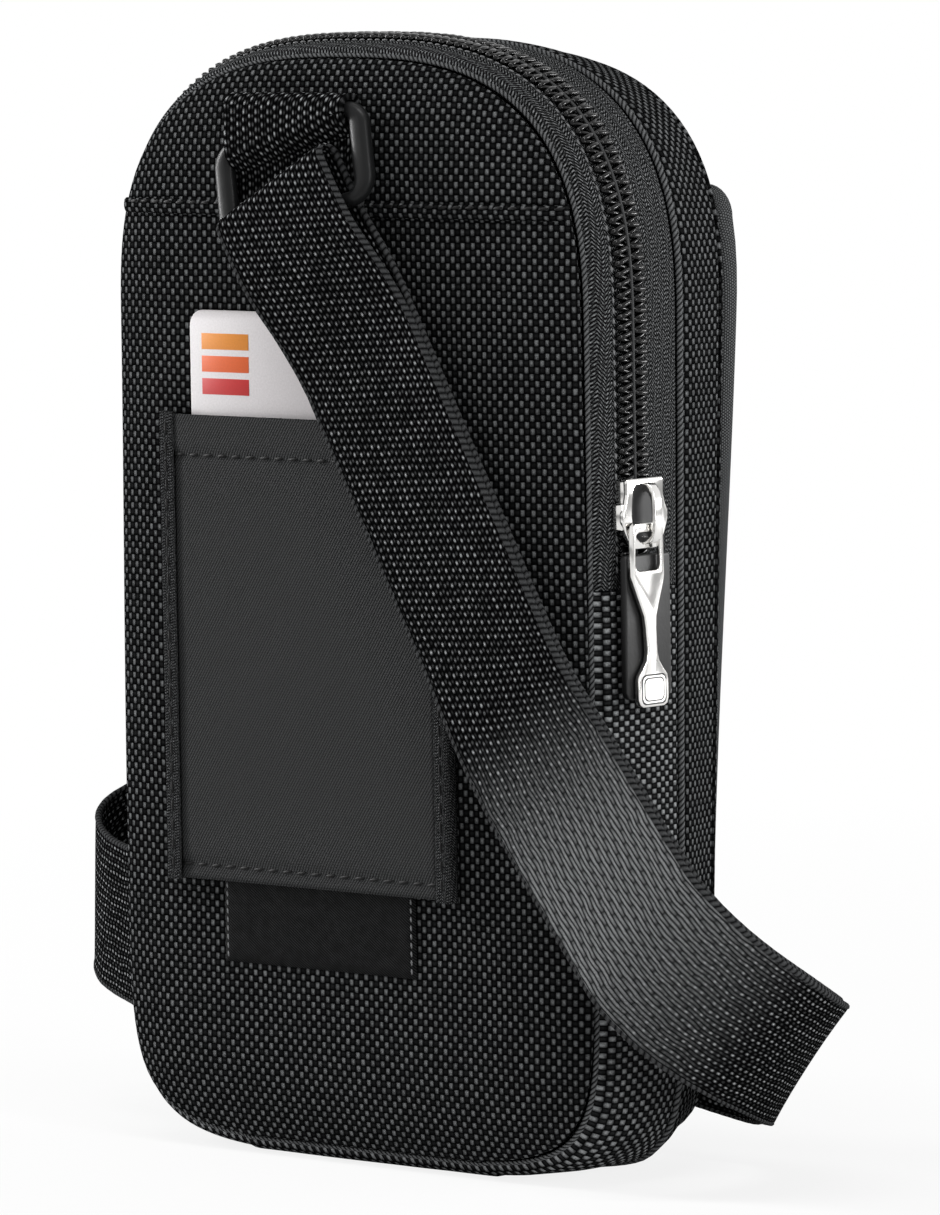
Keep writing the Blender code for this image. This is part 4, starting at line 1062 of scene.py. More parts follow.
pad_rim = top_cut_rim(PANEL_INSET, PANEL_TOP + PANEL_INSET, PANEL_CORNER)
pad_curve, pad_low_curve = (
    [(inset, panel_back + depth) for inset, depth in curve]
    for curve in (
        (
            (0.4, 0.0), (-0.5, 1.2), (-0.95, 2.6), (-0.8, 3.8), (0.2, 4.7), (1.8, 5.1), (2.6, 5.0),
            (4.4, 5.5), (7.0, 5.8), (9.5, 5.85)
        ),
        (
            (1.45, 0.0), (1.2, 0.7), (1.15, 1.3), (1.5, 2.2), (2.1, 2.8), (2.9, 3.2), (3.8, 3.3),
            (5.4, 3.85), (8.2, 4.2), (10.5, 4.25)
        )
    )
)
pad_shape = panel_cloth(pad_rim, pad_curve, 12, 0.12, low_curve=pad_low_curve, square=4.5)
rear_pad = sew("rear_pad_cloth", pad_shape, panel_finish, "rear_pocket_panel", 0.7)
seam = []
for (x, z), (nx, nz) in pad_rim:
    high = smooth_step((z - 45) / 130)
    inset = 3.8 - 1.4 * high
    depth = depth_at(panel_back + 3.32 + 1.75 * high, z)
    seam.append(Vector((x - nx * inset, depth, z - nz * inset)))
stitch_row("rear_pad_stitches", seam + seam[:1], 3.2, 2.2, 0.3, (0, 1, 0))

# Foams: closed-cell sheets cut to the panels, 2.4 mm thick behind the face, about 2 mm at the rear.
# They are caught in the seams together with the cloth that they fill.
foam_finish = Finish("foam", (0.20, 0.20, 0.20), 0.85, 0.3)
foam_cells = foam_finish.speck(foam_finish.place(), 1400.0, 3.0, 0.7)
foam_finish.tint(foam_cells, (0.13, 0.13, 0.13), (0.26, 0.26, 0.26))
foam_finish.relief(foam_cells, 0.15)
face_foam_curve = [(3.9, 0.3), (4.4, -0.2), (6.0, -1.5), (8.6, -2.3), (12.0, -2.7)]
rear_foam_curve = [(2.1, 38.4), (2.6, 38.9), (5.0, 38.95)]
pad_foam_curve = [(2.6, 1.3), (2.8, 1.9), (5.0, 2.7), (8.0, 3.1)]
pad_foam_curve = [(inset, panel_back + depth) for inset, depth in pad_foam_curve]
for foam_name, rim, curve, thickness, node in (
    ("face_foam_sheet", body_rim, face_foam_curve, 2.4, "face_foam"),
    ("rear_foam_sheet", body_rim, rear_foam_curve, 2.2, "rear_foam"),
    ("rear_pad_foam", pad_rim, pad_foam_curve, 1.9, "rear_pocket_foam")
):
    shape = panel_cloth(rim, curve, 8, 0.0)
    foam = sew(foam_name, shape, foam_finish.material, node, thickness)

# Linings: thin plain cloth inside the face, the rear wall and the slip pocket, sewn in flat.
# The strip under the zip is too narrow to be a sheet of its own.
lining = fine_cloth("lining_cloth", 0.5, 0.5, (0.02, 0.021, 0.023), (0.10, 0.104, 0.11), 0.1)
for lining_name, rim, inset, depth, node in (
    ("face_lining_sheet", body_rim, 2.0, 1.25, "face_lining"),
    ("rear_lining_sheet", body_rim, 2.0, 36.15, "rear_lining"),
    ("rear_pad_lining", pad_rim, 1.8, panel_back + 0.35, "rear_pocket_lining")
):
    shape = panel_cloth(rim, [(inset, depth), (6.0, depth)], 10, 0.0)
    sew(lining_name, shape, lining, node, 0.35, "laid")
for end_name, low, start, end, held in (
    ("lower", 3.8, -zip_right, zip_right, "laid"), ("upper", 24.4, zip_right + 0.3, zip_left - 0.3, "")
):
    shape = hoop_cloth(low, 33.6, start, end, 160, lift=-1.9, dip=0.0)
    node = f"gusset_lining_{end_name}"
    sew(f"gusset_lining_strip_{end_name}", shape, lining, node, 0.4, held)

# Seam bindings: the raw edges inside, in front and behind, are bound with black herringbone tape
# that is folded over them and sewn through.
edge_tape = herringbone(
    "edge_tape", 2.3, 0.5, 1.3, (0.002, 0.002, 0.0022), (0.26, 0.267, 0.272), 0.16, 0.3
)


def folded_band(name, inner, outer, low, high, node):
    """A tape folded round a seam's edge, as a soft hoop of the outline."""

    def put(across, around):
        angle = 2 * math.pi * across
        along = ROUND * around
        soft = 0.5 * (high - low)
        inset = (inner + outer) / 2 + (inner - outer) / 2 * max(-1, min(1, 1.3 * math.cos(angle)))
        depth = (low + high) / 2 + soft * max(-1, min(1, 1.3 * math.sin(angle)))
        return off_rim(along, inset, depth), (across * 8.0, along)

    sew(name, lay_cloth(16, 150, put), edge_tape, node)


folded_band("front_binding_tape", 1.95, 7.4, 2.1, 3.3, "front_seam_binding")
folded_band("rear_binding_tape", 1.95, 7.4, 34.1, 35.3, "rear_seam_binding")

# Inner sleeve: an open pocket of the lining cloth on the rear wall, sewn in at its sides and
# bottom. Its top edge is bound with tape.
sleeve_curve = [(0.1, 35.3), (1.0, 35.15), (4.0, 35.15)]
shape = panel_cloth(top_cut_rim(8.0, 128.0, 10.0), sleeve_curve, 8, 0.05, spine=(50.0, 90.0))
sew("inner_sleeve_sheet", shape, lining, "inner_sleeve", 0.35, "laid")
sleeve_y = depth_at(34.9, 120.0) - 0.55


def sleeve_edge(across, around):
    angle = 2 * math.pi * across
    x = -43.6 + 87.2 * around
    z = 118.1 + 1.7 * max(-1, min(1, 1.4 * math.sin(angle)))
    y = sleeve_y - 0.25 + 0.24 * max(-1, min(1, 1.4 * math.cos(angle)))
    return Vector((x, y, z)), (across * 8.0, x)


sew("inner_sleeve_edge", lay_cloth(16, 60, sleeve_edge), edge_tape, "inner_sleeve_binding")

# Card pocket: smooth dark-grey twill, hemmed at top and bottom, its sides bound with tape
# and sewn through to the face.
POCKET_LEFT = -42.7
POCKET_RIGHT = 29.2
POCKET_LOW = 49.7
POCKET_TOP = 136.7
POCKET_TAPE = 3.8
HEM_LINE = 129.2
face_y = PLATEAU - 0.55
pocket_y = face_y - 1.8
pocket_finish = Finish("pocket_twill", (0.032, 0.033, 0.034), 0.62, 0.04)
vector, across, along = pocket_finish.cloth_place()
weave = (across / 0.68 - along).hump() * ((along / 0.5).hump() + 1.5)
fuzz = pocket_finish.speck(vector, 4.0, 2.0, 0.6)
pocket_finish.tint(weave * 0.4 + fuzz - 0.45, (0.0015, 0.0015, 0.0016), (0.044, 0.0453, 0.0464))
pocket_finish.relief(weave + fuzz, 0.06)
pocket_twill = pocket_finish.material
LOWER_HEM_LINE = 52.4
pocket_left = POCKET_LEFT + POCKET_TAPE - 0.6
pocket_right = POCKET_RIGHT - POCKET_TAPE + 0.6


def pocket_front(across, around):
    x = pocket_left + (pocket_right - pocket_left) * across
    z = POCKET_LOW + (POCKET_TOP - POCKET_LOW) * around
    bulge = math.sin(math.pi * across) ** 0.5 * smooth_step((z - POCKET_LOW) / 7.0)
    hem = 0.25 * smooth_step((z - HEM_LINE + 0.6) / 1.2)
    dent = 0.3 * math.exp(-(((z - HEM_LINE) / 0.9) ** 2))
    dent += 0.35 * math.exp(-((z - LOWER_HEM_LINE) ** 2))
    y = pocket_y - 0.1 - 0.35 * bulge - hem + dent
    y += 0.16 * noise.noise(Vector((x * 0.06, z * 0.05, 4.0))) * bulge
    return Vector((x, y, z)), (x, z)


shape = lay_cloth(40, 90, pocket_front)
sew("card_pocket_front", shape, pocket_twill, "card_pocket", 0.5, "stretched")
for end_name, low, high, back in (
    ("top", POCKET_TOP - 7.6, POCKET_TOP - 0.15, pocket_y + 0.5),
    ("bottom", POCKET_LOW + 0.1, POCKET_LOW + 3.0, face_y - 0.8)
):

    def hem_fold(across, around, low=low, high=high, back=back):
        x = pocket_left + 0.5 + (pocket_right - pocket_left - 1.0) * across
        z = low + (high - low) * around
        return Vector((x, back + 0.05 * math.sin(x * 0.5), z)), (x, z)

    node = f"card_pocket_{end_name}_hem"
    shape = lay_cloth(40, 6, hem_fold)
    sew(f"card_pocket_hem_{end_name}", shape, pocket_twill, node, 0.35)


def hem_line(height, dip):
    """Line of stitches across the pocket at a height."""
    around = (height - POCKET_LOW) / (POCKET_TOP - POCKET_LOW)
    return [pocket_front(i / 40, around)[0] + Vector((0.0, dip, 0.0)) for i in range(41)]


for row_name, height in (("hem_stitches_top", HEM_LINE), ("hem_stitches_bottom", LOWER_HEM_LINE)):
    line = hem_line(height, -0.06)
    stitch_row(row_name, line, 3.5, 2.5, 0.36, (0, -1, 0), black_thread)


def between(points, at):
    """Point at a broken place in a list of points."""
    i = min(int(at), len(points) - 2)
    return [a + (b - a) * (at - i) for a, b in zip(points[i], points[i + 1])]


tape_section = [
    (0.15, face_y - 0.1), (-0.05, face_y - 0.9), (0.1, pocket_y - 0.35), (0.55, pocket_y - 0.72),
    (1.3, pocket_y - 0.82), (2.0, pocket_y - 0.70), (2.9, pocket_y - 0.80), (3.55, pocket_y - 0.72),
    (3.8, pocket_y - 0.40)
]
for side, side_name, edge_x in ((-1, "left", POCKET_LEFT), (1, "right", POCKET_RIGHT)):

    def tape_fold(across, around, side=side, edge_x=edge_x):
        """Folded tape: from the face up the pocket's side, over its front and back down to it."""
        z = POCKET_LOW - 0.4 + (POCKET_TOP - POCKET_LOW + 0.8) * around
        inward, y = between(tape_section, across * (len(tape_section) - 1))
        wander = 0.1 * noise.noise(Vector((z * 0.15, side, 0.0)))
        x = edge_x - side * (inward + wander)
        return Vector((x, y, z)), (across * 6.2 * -side, z)

    shape = lay_cloth(16, 120, tape_fold, flip=side > 0)
    node = f"card_pocket_tape_{side_name}"
    sew(f"card_pocket_binding_{side_name}", shape, edge_tape, node, 0.4)
    middle_x = edge_x - side * 2.05
    line = [Vector((middle_x, pocket_y - 0.8, POCKET_LOW + 1 + i)) for i in range(86)]
    row_name = f"binding_stitches_{side_name}"
    stitch_row(row_name, line, 3.5, 2.4, 0.3, (0, -1, 0), black_thread)

# Label under the pocket: black woven satin, left bare, tucked under the pocket's lower edge and
# sewn to the face with a row of stitches at each side.
satin = Finish("label_satin", (0.006, 0.006, 0.0062), 0.5, 0.02)
vector, across, along = satin.cloth_place()
ribs = (along / 0.55 + across / 0.8).hump()
cloud = satin.speck(vector, 0.5, 4.0, 0.6)
# Painted sheen: the satin's ribs are painted lighter along their crowns.
satin.tint(ribs**3.0 * cloud, (0.0005, 0.0005, 0.0005), (0.042, 0.043, 0.044))
satin.relief(ribs + satin.speck(vector, 3.0), 0.05)
LABEL_LEFT = -29.8
LABEL_RIGHT = 18.4
LABEL_LOW = 34.4


def label_cloth(across, around):
    x = LABEL_LEFT + (LABEL_RIGHT - LABEL_LEFT) * across
    z = LABEL_LOW + (POCKET_LOW + 2.6 - LABEL_LOW) * around
    edge = min(x - LABEL_LEFT, LABEL_RIGHT - x, z - LABEL_LOW)
    puff = 0.4 * smooth_step(edge / 1.4)
    y = face_y - 0.15 - puff + 0.1 * noise.noise(Vector((x * 0.12, z * 0.12, 9.0)))
    return Vector((x, y, z)), (x, z)


shape = lay_cloth(60, 26, label_cloth)
sew("label_cloth", shape, satin.material, "label", 0.35, "laid")
for side_name, x in (("left", LABEL_LEFT + 0.9), ("right", LABEL_RIGHT - 0.9)):
    line = [Vector((x, face_y - 0.45, LABEL_LOW + 0.6 + i * 0.5)) for i in range(30)]
    stitch_row(f"label_stitches_{side_name}", line, 1.5, 1.15, 0.2, (0, -1, 0))

# Payment card in the pocket: standard size, warm pale grey with a fine speckle.
# A few plain bars stand where an issuer's mark would be.
CARD_LEFT = -35.6
CARD_TOP = 156.2
CARD_WIDTH = 53.98
CARD_HEIGHT = 85.6
CARD_THICK = 0.76
CARD_CORNER = 3.18


def round_corners(half_wide, half_high, corner, steps):
    """Points round a rectangle with round corners, each with the angle of its outward way."""
    ring = []
    for cx, cz, start in ((1, 1, 0), (-1, 1, 90), (-1, -1, 180), (1, -1, 270)):
        for i in range(steps + 1):
            angle = math.radians(start + 90 / steps * i)
            x = cx * (half_wide - corner) + corner * math.cos(angle)
            z = cz * (half_high - corner) + corner * math.sin(angle)
            ring.append((x, z, angle))
    return ring


def speckled_ink(name, colour, roughness, dark, light):
    """Print or plastic with a fine speckle. Gives the finish and its grain."""
    finish = Finish(name, colour, roughness, 0.5)
    grain = finish.speck(finish.place(), 2600.0, 2.0, 0.8)
    finish.tint(grain, dark, light)
    return finish, grain


card_finish, grain = speckled_ink(
    "card_plastic", (0.50, 0.47, 0.48), 0.36, (0.40, 0.375, 0.38), (0.60, 0.57, 0.58)
)
card_finish.relief(grain, 0.01)
shape = bmesh.new()
card_line = round_corners(CARD_WIDTH / 2, CARD_HEIGHT / 2, CARD_CORNER, 8)
card_x = CARD_LEFT + CARD_WIDTH / 2
card_z = CARD_TOP - CARD_HEIGHT / 2
ring = [shape.verts.new((card_x + x, face_y - 0.05, card_z + z)) for x, z, _ in card_line]
push_out(shape, [shape.faces.new(ring)], (0.0, -CARD_THICK, 0.0))
bmesh.ops.recalc_face_normals(shape, faces=shape.faces)
soften(shape, level_edges(shape, 1), 0.12, 2)
plain_piece("payment_card", shape, card_finish.material, "card", ["card"], 30.0)
BAR_LEFT = -32.6
for number, (bar_z, colour) in enumerate(
    ((150.4, (0.80, 0.27, 0.02)), (146.2, (0.78, 0.12, 0.015)), (142.0, (0.55, 0.012, 0.012)))
):
    bar_name = f"card_bar_{number + 1}"
    ends = [tuple(min(1.0, share * part) for part in colour) for share in (0.85, 1.1)]
    ink = speckled_ink(bar_name, colour, 0.38, *ends)[0].material
    shape = bmesh.new()
    front = face_y - 0.05 - CARD_THICK
    low, high = (BAR_LEFT, front - 0.03, bar_z - 1.5), (BAR_LEFT + 12.0, front + 0.02, bar_z + 1.5)
    bar_block(shape, low, high, 0.02)
    plain_piece(bar_name, shape, ink, "card", [])

# Webbing of the tab and the strap: heavy ribbed nylon, with a lattice of small floats along it
# and a smooth bound edge at each side.
WEBBING = 1.2
WEBBING_WIDTH = 30.0


def webbing(name, dark, light):
    """Long wavy ribs with narrow gaps. Small floats stand out on them as painted glints, light dots that
    fade where the ribs are painted lit near the bend.
    """
    finish = Finish(name, light, 0.5)
    vector, u, v = finish.cloth_place()
    a = u / 0.78 + (finish.speck(vector, 0.16, 3.0) - 0.5) * 1.6 + 60.0
    rib_number = a.whole()
    rib = a.hump() ** 0.8
    b = v / 1.5 + (a * 0.5).whole() % 2.0 * 0.5 + 500.0
    # Painted glints: small light dots at the crowns of the floats.
    dot = b.hump() ** 5.0 * rib**3.0 * ((1.0 - rib_number % 2.0) * 0.85 + 0.15)
    dot = dot * (finish.chance(rib_number, b.whole()) + 0.35)
    long_run = (v / 6.2 + rib_number * 0.37 + 90.0).hump() ** 0.3
    fuzz = finish.speck(vector, 3.4, 3.0, 0.7)
    cord = rib * long_run * (fuzz + 0.3)
    # Painted light on the strap's lower front run: it comes on and goes off by length along it.
    light_coming_on, light_going_off = (
        Yarn(finish.tree, range_node(finish.tree, v, 0.0, 1.0, start, end, "SMOOTHSTEP"))
        for start, end in (PAINTED_LIGHT_START, PAINTED_LIGHT_END)
    )
    spread = light_coming_on.at_most(light_going_off)
    dot = dot * (1.0 - spread * 0.95)
    painted_sheen = cord**1.6 * (spread + 0.012) + dot
    finish.tint(painted_sheen.at_most(1.0), dark, light)
    height = cord + dot * 0.5
    finish.rough(height, 0.75, 0.42)
    finish.relief(height + fuzz * 0.2, 0.3)
    return finish.material


# Painted light: the ribs are painted lighter on the lower half of the strap's front run, up to the
# bend, where light falls on them: where that begins and where it ends, as lengths along the webbing.
PAINTED_LIGHT_START = (432.0, 468.0)
PAINTED_LIGHT_END = (514.0, 478.0)
web_cloth = webbing("strap_webbing", YARN_BLACK, (0.40, 0.41, 0.418))

# Strap ring: moulded plastic with a satin skin, held in the tab's fold. Its side arms are blades,
# wider than its bars.
ring_plastic = smooth_finish(
    "ring_plastic", (0.009, 0.0093, 0.0096), 0.36, 0.16, (500.0, 3.0), 0.26, 0.44, (2200.0, 2.0), 0.02
)
RING_TURN = math.radians(14.5)
RING_TILT = math.radians(9.0)
RING_MIDDLE = Vector((-5.0, -8.65, 182.2))
RING_HALF_WIDTH = 17.6
RING_HALF_HEIGHT = 8.4
RING_CORNER = 3.6
BAR = 1.4
ring_turn = Matrix.Rotation(-RING_TURN, 3, "Y") @ Matrix.Rotation(-RING_TILT, 3, "X")
ring_line = round_corners(RING_HALF_WIDTH, RING_HALF_HEIGHT, RING_CORNER, 12)
shape = bmesh.new()
bmesh.ops.create_grid(shape, x_segments=len(ring_line), y_segments=20, size=0.5)
for vert in shape.verts:
    i = round((vert.co.x + 0.5) * len(ring_line)) % len(ring_line)
    around = 2 * math.pi * (vert.co.y + 0.5)
    x, z, angle = ring_line[i]
    wide = BAR + 0.75 * abs(math.cos(angle)) ** 3
    reach_out = math.copysign(abs(math.cos(around)) ** 0.8, math.cos(around)) * wide
    lift = math.copysign(abs(math.sin(around)) ** 0.8, math.sin(around)) * BAR
    local = Vector((x + math.cos(angle) * reach_out, lift, z + math.sin(angle) * reach_out))
    vert.co = RING_MIDDLE + ring_turn @ local
plain_piece("ring_frame", shape, ring_plastic, "ring", ["strap_ring"], 60.0)

# Tab: a short piece of the webbing, sewn in under the yoke's edge. It rises, folds over and goes
# round the ring's upper bar.
TAB_LEFT = -21.4
TAB_RIGHT = 7.8
bar_top = RING_MIDDLE + ring_turn @ Vector((0, 0, RING_HALF_HEIGHT))


def tab_line(across):
    bar = bar_top.z + math.tan(RING_TURN) * (across - bar_top.x)
    return [
        (-4.9, YOKE_Z + 1.0), (-4.9, YOKE_Z + 10.0), (-4.9, 193.6), (-5.0, 194.8), (-5.6, 195.8),
        (-6.6, 196.2), (-7.7, 196.1), (-8.7, 195.6), (-9.3, 194.7), (-9.45, 193.2), (-9.4, bar - 0.5),
        (-9.0, bar - 1.8), (-7.8, bar - 3.3), (-6.7, bar - 4.6), (-6.4, bar - 6.5),
        (-6.4, YOKE_Z + 4.0), (-6.4, YOKE_Z + 1.2)
    ]


def hermite(here, there, leaving, coming, part):
    """Cubic between two values with their slopes."""
    p2, p3 = part * part, part**3
    a, b = 2 * p3 - 3 * p2 + 1, p3 - 2 * p2 + part
    c, d = -2 * p3 + 3 * p2, p3 - p2
    return here * a + leaving * b + there * c + coming * d


def tab_cloth(across, along):
    x = TAB_LEFT + (TAB_RIGHT - TAB_LEFT) * across
    line = tab_line(x)
    at = along * (len(line) - 1)
    i = min(int(at), len(line) - 2)
    before, after = line[max(i - 1, 0)], line[min(i + 2, len(line) - 1)]
    here, there = line[i], line[i + 1]
    y, z = (
        hermite(here[k], there[k], (there[k] - before[k]) / 2, (after[k] - here[k]) / 2, at - i)
        for k in (0, 1)
    )
    run = run_along(line[: i + 1])[-1] + math.dist(here, there) * (at - i)
    return Vector((x, y, z)), (x - TAB_LEFT, run)


tab = sew("ring_tab_webbing", lay_cloth(30, 96, tab_cloth), web_cloth, "ring_tab")
thicken(tab, WEBBING, 0.0)

# Strap: one length of 30 mm nylon webbing, hung from the ring. It crosses the face, turns round
# the right side, runs behind the bag through the adjuster and comes back to the left side. It is
# laid through stations: a point of its middle line, and the way across it, which leans in the bend.
FOLD = Vector((-7.3, 181.1))
DOWN = Vector((0.4908, -0.8713))
ACROSS = Vector((0.8713, 0.4908))
FRONT_Y = -8.4
BACK_Y = 40.6
BACK_WAY = Vector((-0.9855, 0.1699))
EASED = Vector((0.629, -0.777)).normalized()
EASED_POINT = Vector((77.2, 46.3))
BEND = -(EASED + BACK_WAY).normalized()
AWAY = Vector((BEND.y, -BEND.x))
slant = EASED.dot(BEND)
spread = EASED.dot(AWAY)
BEND_START = 39.8
BEND_REACH = 22.9
stations = []
for along in (0.0, 12.0, 26.0, 42.0, 60.0, 78.0, 94.0):
    spot = FOLD + DOWN * along - ACROSS * 1.8 * smooth_step((30.0 - along) / 24.0)
    stations.append(((spot.x, FRONT_Y, spot.y), (ACROSS.x, 0.0, ACROSS.y)))
bend_spot = EASED_POINT + EASED * (BEND_START - EASED_POINT.dot(AWAY)) / spread
stations += [
    ((46.1, FRONT_Y, 86.4), (0.835, 0.04, 0.55)), ((54.8, FRONT_Y, 74.4), (0.797, 0.12, 0.604))
]
half_gap = (BACK_Y - FRONT_Y) / 2
BACK_DROP = 4.2
along_bend = bend_spot.dot(BEND)
at = None
for i in range(13):
    turned = math.pi * i / 12
    away = BEND_START + BEND_REACH * math.sin(turned)
    y = FRONT_Y + half_gap * (1 - math.cos(turned))
    if at:
        along_bend += math.dist(at, (away, y)) * slant / spread
    at = (away, y)
    heading = math.atan2(half_gap * math.sin(turned), BEND_REACH * math.cos(turned))
    spot = AWAY * away + BEND * along_bend
    flat = BEND * spread - AWAY * slant * math.cos(heading)
    sunk = BACK_DROP * smooth_step((i - 4) / 8)
    lean = 0.75 * smooth_step((i - 2) / 6) * smooth_step((14 - i) / 5)
    turn = 0.18 * smooth_step((6 - i) / 5) - slant * math.sin(heading) - 0.36 * lean
    width_way = (flat.x + 0.4 * lean, turn, flat.y - 0.2 * lean)
    stations.append(((spot.x, y, spot.y - sunk), width_way))
back_start = spot
BACK_LEFT = -62.0
for part in (0.12, 0.26, 0.4, 0.55, 0.7, 0.85, 1.0):
    spot = back_start + BACK_WAY * part * (back_start.x - BACK_LEFT) / -BACK_WAY.x
    sunk = BACK_DROP * (1 - part)
    stations.append(((spot.x, BACK_Y, spot.y - sunk), (BACK_WAY.y, 0.0, -BACK_WAY.x)))
stations += [
    ((-74.5, BACK_Y, 45.2), (0.12, 0.0, 0.99)), ((-84.4, 40.2, 46.8), (0.09, 0.04, 0.99)),
    ((-91.4, 36.8, 46.8), (0.05, 0.07, 0.99)), ((-94.0, 31.4, 44.0), (0.02, 0.07, 0.995)),
    ((-91.8, 25.4, 41.4), (0.0, 0.05, 1.0)), ((-86.2, 20.2, 39.0), (0.0, 0.03, 1.0)),
    ((-78.8, 16.2, 37.4), (0.0, 0.0, 1.0)), ((-71.4, 13.0, 36.5), (0.0, 0.0, 1.0)),
    ((-65.0, 9.4, 36.0), (0.0, 0.0, 1.0)), ((-61.8, 6.2, 35.8), (0.0, 0.0, 1.0)),
    ((-59.2, 2.8, 35.8), (0.0, 0.0, 1.0))
]
middles = [Vector(point) for point, _ in stations]
widths = [Vector(way).normalized() for _, way in stations]
reach = run_along(middles)


def curve_at(values, along):
    """Cubic through the stations' values at a distance along them."""
    along = min(max(along, 0.0), reach[-1])
    i = 0
    while i < len(reach) - 2 and reach[i + 1] < along:
        i += 1
    span = reach[i + 1] - reach[i]
    part = (along - reach[i]) / span

    def slope(k):
        low, high = max(k - 1, 0), min(k + 1, len(reach) - 1)
        return (values[high] - values[low]) / (reach[high] - reach[low])

    return hermite(values[i], values[i + 1], slope(i) * span, slope(i + 1) * span, part)


def on_strap(along, across, lift):
    """Point of the webbing at a distance along and across it, lifted off its inner face."""
    middle = curve_at(middles, along)
    width = curve_at(widths, along).normalized()
    ahead = curve_at(middles, along + 0.5) - curve_at(middles, along - 0.5)
    normal = ahead.cross(width).normalized()
    return middle + width * across + normal * lift


bar_at = 0.0
while curve_at(middles, bar_at).y < 30 or curve_at(middles, bar_at).x > -14.0:
    bar_at += 0.25
inner_hump = (
    (2.0, 0.65), (2.8, 1.1), (3.1, 2.3), (2.8, 3.5), (1.6, 4.0), (-1.6, 4.0), (-2.8, 3.4), (-3.6, 1.6),
    (-4.4, -0.3), (-5.8, -0.9), (-10.0, -0.9)
)
outer_hump = (
    (-11.5, 0.6), (-7.2, 0.7), (-5.4, 2.2), (-4.2, 4.4), (-2.8, 5.4), (-1.0, 5.7), (1.6, 5.7),
    (3.6, 5.0), (4.7, 2.6), (5.8, 0.8), (8.0, 0.6), (14.0, 0.6)
)
strap_line = [(bar_at + step, lift) for step, lift in inner_hump]
run = bar_at - 13.0
while run > 34.0:
    strap_line.append((run, -0.9))
    run -= 2.5
strap_line += [
    (30.0, -0.9), (24.0, -0.8), (18.0, -0.5), (12.0, -0.5), (8.0, -0.5), (4.0, -0.5), (2.0, -0.45),
    (1.1, -0.2), (0.45, 0.4), (0.1, 1.1), (0.0, 1.75), (0.1, 2.4), (0.45, 3.1), (1.1, 3.7), (2.0, 3.95),
    (4.0, 4.0), (8.0, 4.0), (12.0, 4.0), (16.0, 4.0), (21.0, 3.4), (27.0, 2.2), (33.0, 1.1), (37.5, 0.6)
]
run = 40.0
while run < bar_at - 13.0:
    strap_line.append((run, 0.6))
    run += 2.5
strap_line += [(bar_at + step, lift) for step, lift in outer_hump]
run = bar_at + 16.5
while run < reach[-1] - 2.0:
    strap_line.append((run, 0.6))
    run += 2.5
strap_line.append((reach[-1], 0.6))
strap_run = run_along(strap_line)
STRAP_COLUMNS = 20
spot_memory = {}


def strap_cloth(across, along):
    i = round(along * (len(strap_line) - 1))
    j = round(across * STRAP_COLUMNS)
    if (i, j) not in spot_memory:
        u, lift = strap_line[i]
        side = (j / STRAP_COLUMNS - 0.5) * WEBBING_WIDTH
        wave = 0.12 * noise.noise(Vector((strap_run[i] * 0.05, side * 0.06, 2.0)))
        spot_memory[(i, j)] = on_strap(u, side, lift + wave)
    return spot_memory[(i, j)], (across * WEBBING_WIDTH, strap_run[i])


shape = lay_cloth(STRAP_COLUMNS, len(strap_line) - 1, strap_cloth)
strap = sew("strap_webbing", shape, web_cloth, "strap", held="folded")
thicken(strap, WEBBING, 0.0)
soft = strap.modifiers.new("soft", "SUBSURF")
soft.levels = 1
soft.render_levels = 1

# Bound edges of the strap: the weft turns back round the outermost warps, which gives
# a row of short smooth loops along both sides.
# The loops' light is painted into their colour as painted highlights, as on the rolled seams.
edge_finish = corded("selvedge", 1.3, (0.003, 0.003, 0.0032), (0.12, 0.123, 0.126), 0.1, 0.3)
strap_walk = [(u, lift, run) for (u, lift), run in zip(strap_line, strap_run)]


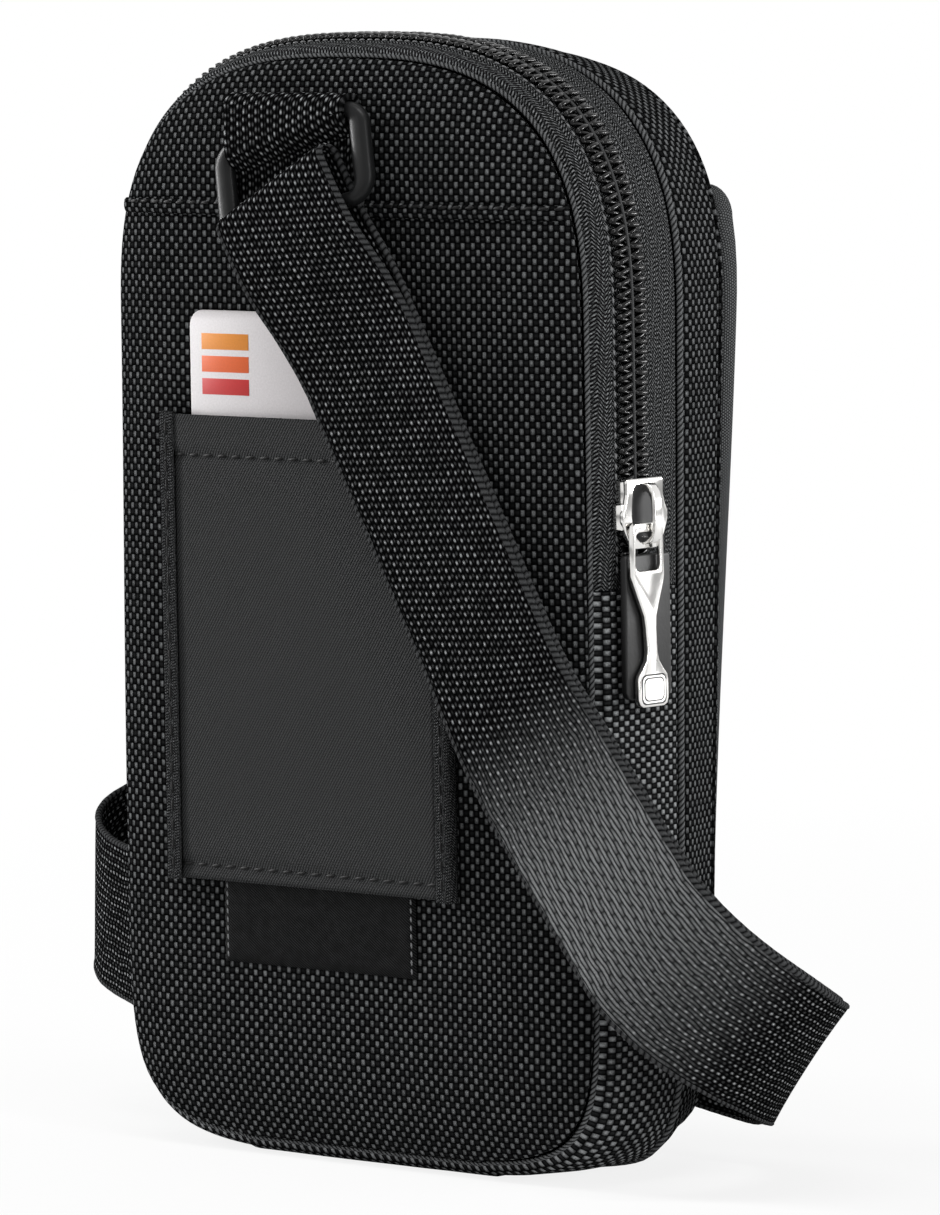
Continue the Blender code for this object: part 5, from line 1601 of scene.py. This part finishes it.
def selvedge(name, side, first, last):
    """A rounded cord along one edge, a little thinner between the turns of the weft."""

    def put(across, along):
        u, lift, run = between(strap_walk, first + (last - first) * along)
        pinch = 1.0 + 0.03 * math.cos(2 * math.pi * run / 3.4)
        angle = 2 * math.pi * across
        reach_out = side * (WEBBING_WIDTH / 2 - 0.35 + 0.62 * pinch * math.cos(angle))
        spot = on_strap(u, reach_out, lift + 0.68 * pinch * math.sin(angle))
        return spot, (across * 4.0, run)

    rows = int((strap_run[last] - strap_run[first]) / 1.1)
    sew(name, lay_cloth(8, rows, put, flip=side < 0), edge_finish, None)


fold_index = strap_line.index((0.0, 1.75))
for side, side_name in ((-1, "lower"), (1, "upper")):
    selvedge(f"strap_edge_{side_name}", side, fold_index + 1, len(strap_line) - 1)
    selvedge(f"strap_return_edge_{side_name}", side, 4, fold_index - 1)

# Adjuster behind the bag: a three-bar slide of moulded plastic, rounded all over. The webbing's
# end goes round its middle bar, and the run behind the bag goes over that.
ADJUSTER_HALF = 11.8
SLIDE_BAR = 2.2
SLIDE_THICK = 1.6
half_slide = WEBBING_WIDTH / 2 + 3.0
along_way = (curve_at(middles, bar_at + 1) - curve_at(middles, bar_at - 1)).normalized()
width_way = curve_at(widths, bar_at).normalized()
slide_frame = Matrix((along_way, width_way, along_way.cross(width_way).normalized()))
slide_place = Matrix.Translation(on_strap(bar_at, 0.0, 2.3)) @ slide_frame.transposed().to_4x4()
shape = bmesh.new()
bmesh.ops.create_grid(shape, x_segments=5, y_segments=3, size=0.5)
half_lines = [SLIDE_BAR / 2, ADJUSTER_HALF - SLIDE_BAR, ADJUSTER_HALF]
slide_lines = [-place for place in reversed(half_lines)] + half_lines
cross_lines = [-half_slide, -half_slide + 2.5, half_slide - 2.5, half_slide]
for vert in shape.verts:
    i, j = round((vert.co.x + 0.5) * 5), round((vert.co.y + 0.5) * 3)
    vert.co = (slide_lines[i], cross_lines[j], -SLIDE_THICK / 2)
slots = []
for face in shape.faces:
    middle = face.calc_center_median()
    if abs(middle.y) < 5 and 2 < abs(middle.x) < ADJUSTER_HALF - SLIDE_BAR:
        slots.append(face)
bmesh.ops.delete(shape, geom=slots, context="FACES")
push_out(shape, shape.faces[:], (0.0, 0.0, SLIDE_THICK))
bmesh.ops.recalc_face_normals(shape, faces=shape.faces)
soften(shape, [edge for edge in shape.edges if edge.calc_face_angle(0.0) > 0.7], 0.5, 4)
bmesh.ops.transform(shape, matrix=slide_place, verts=shape.verts)
plain_piece("adjuster_frame", shape, ring_plastic, "adjuster", ["strap_adjuster"], 50.0)
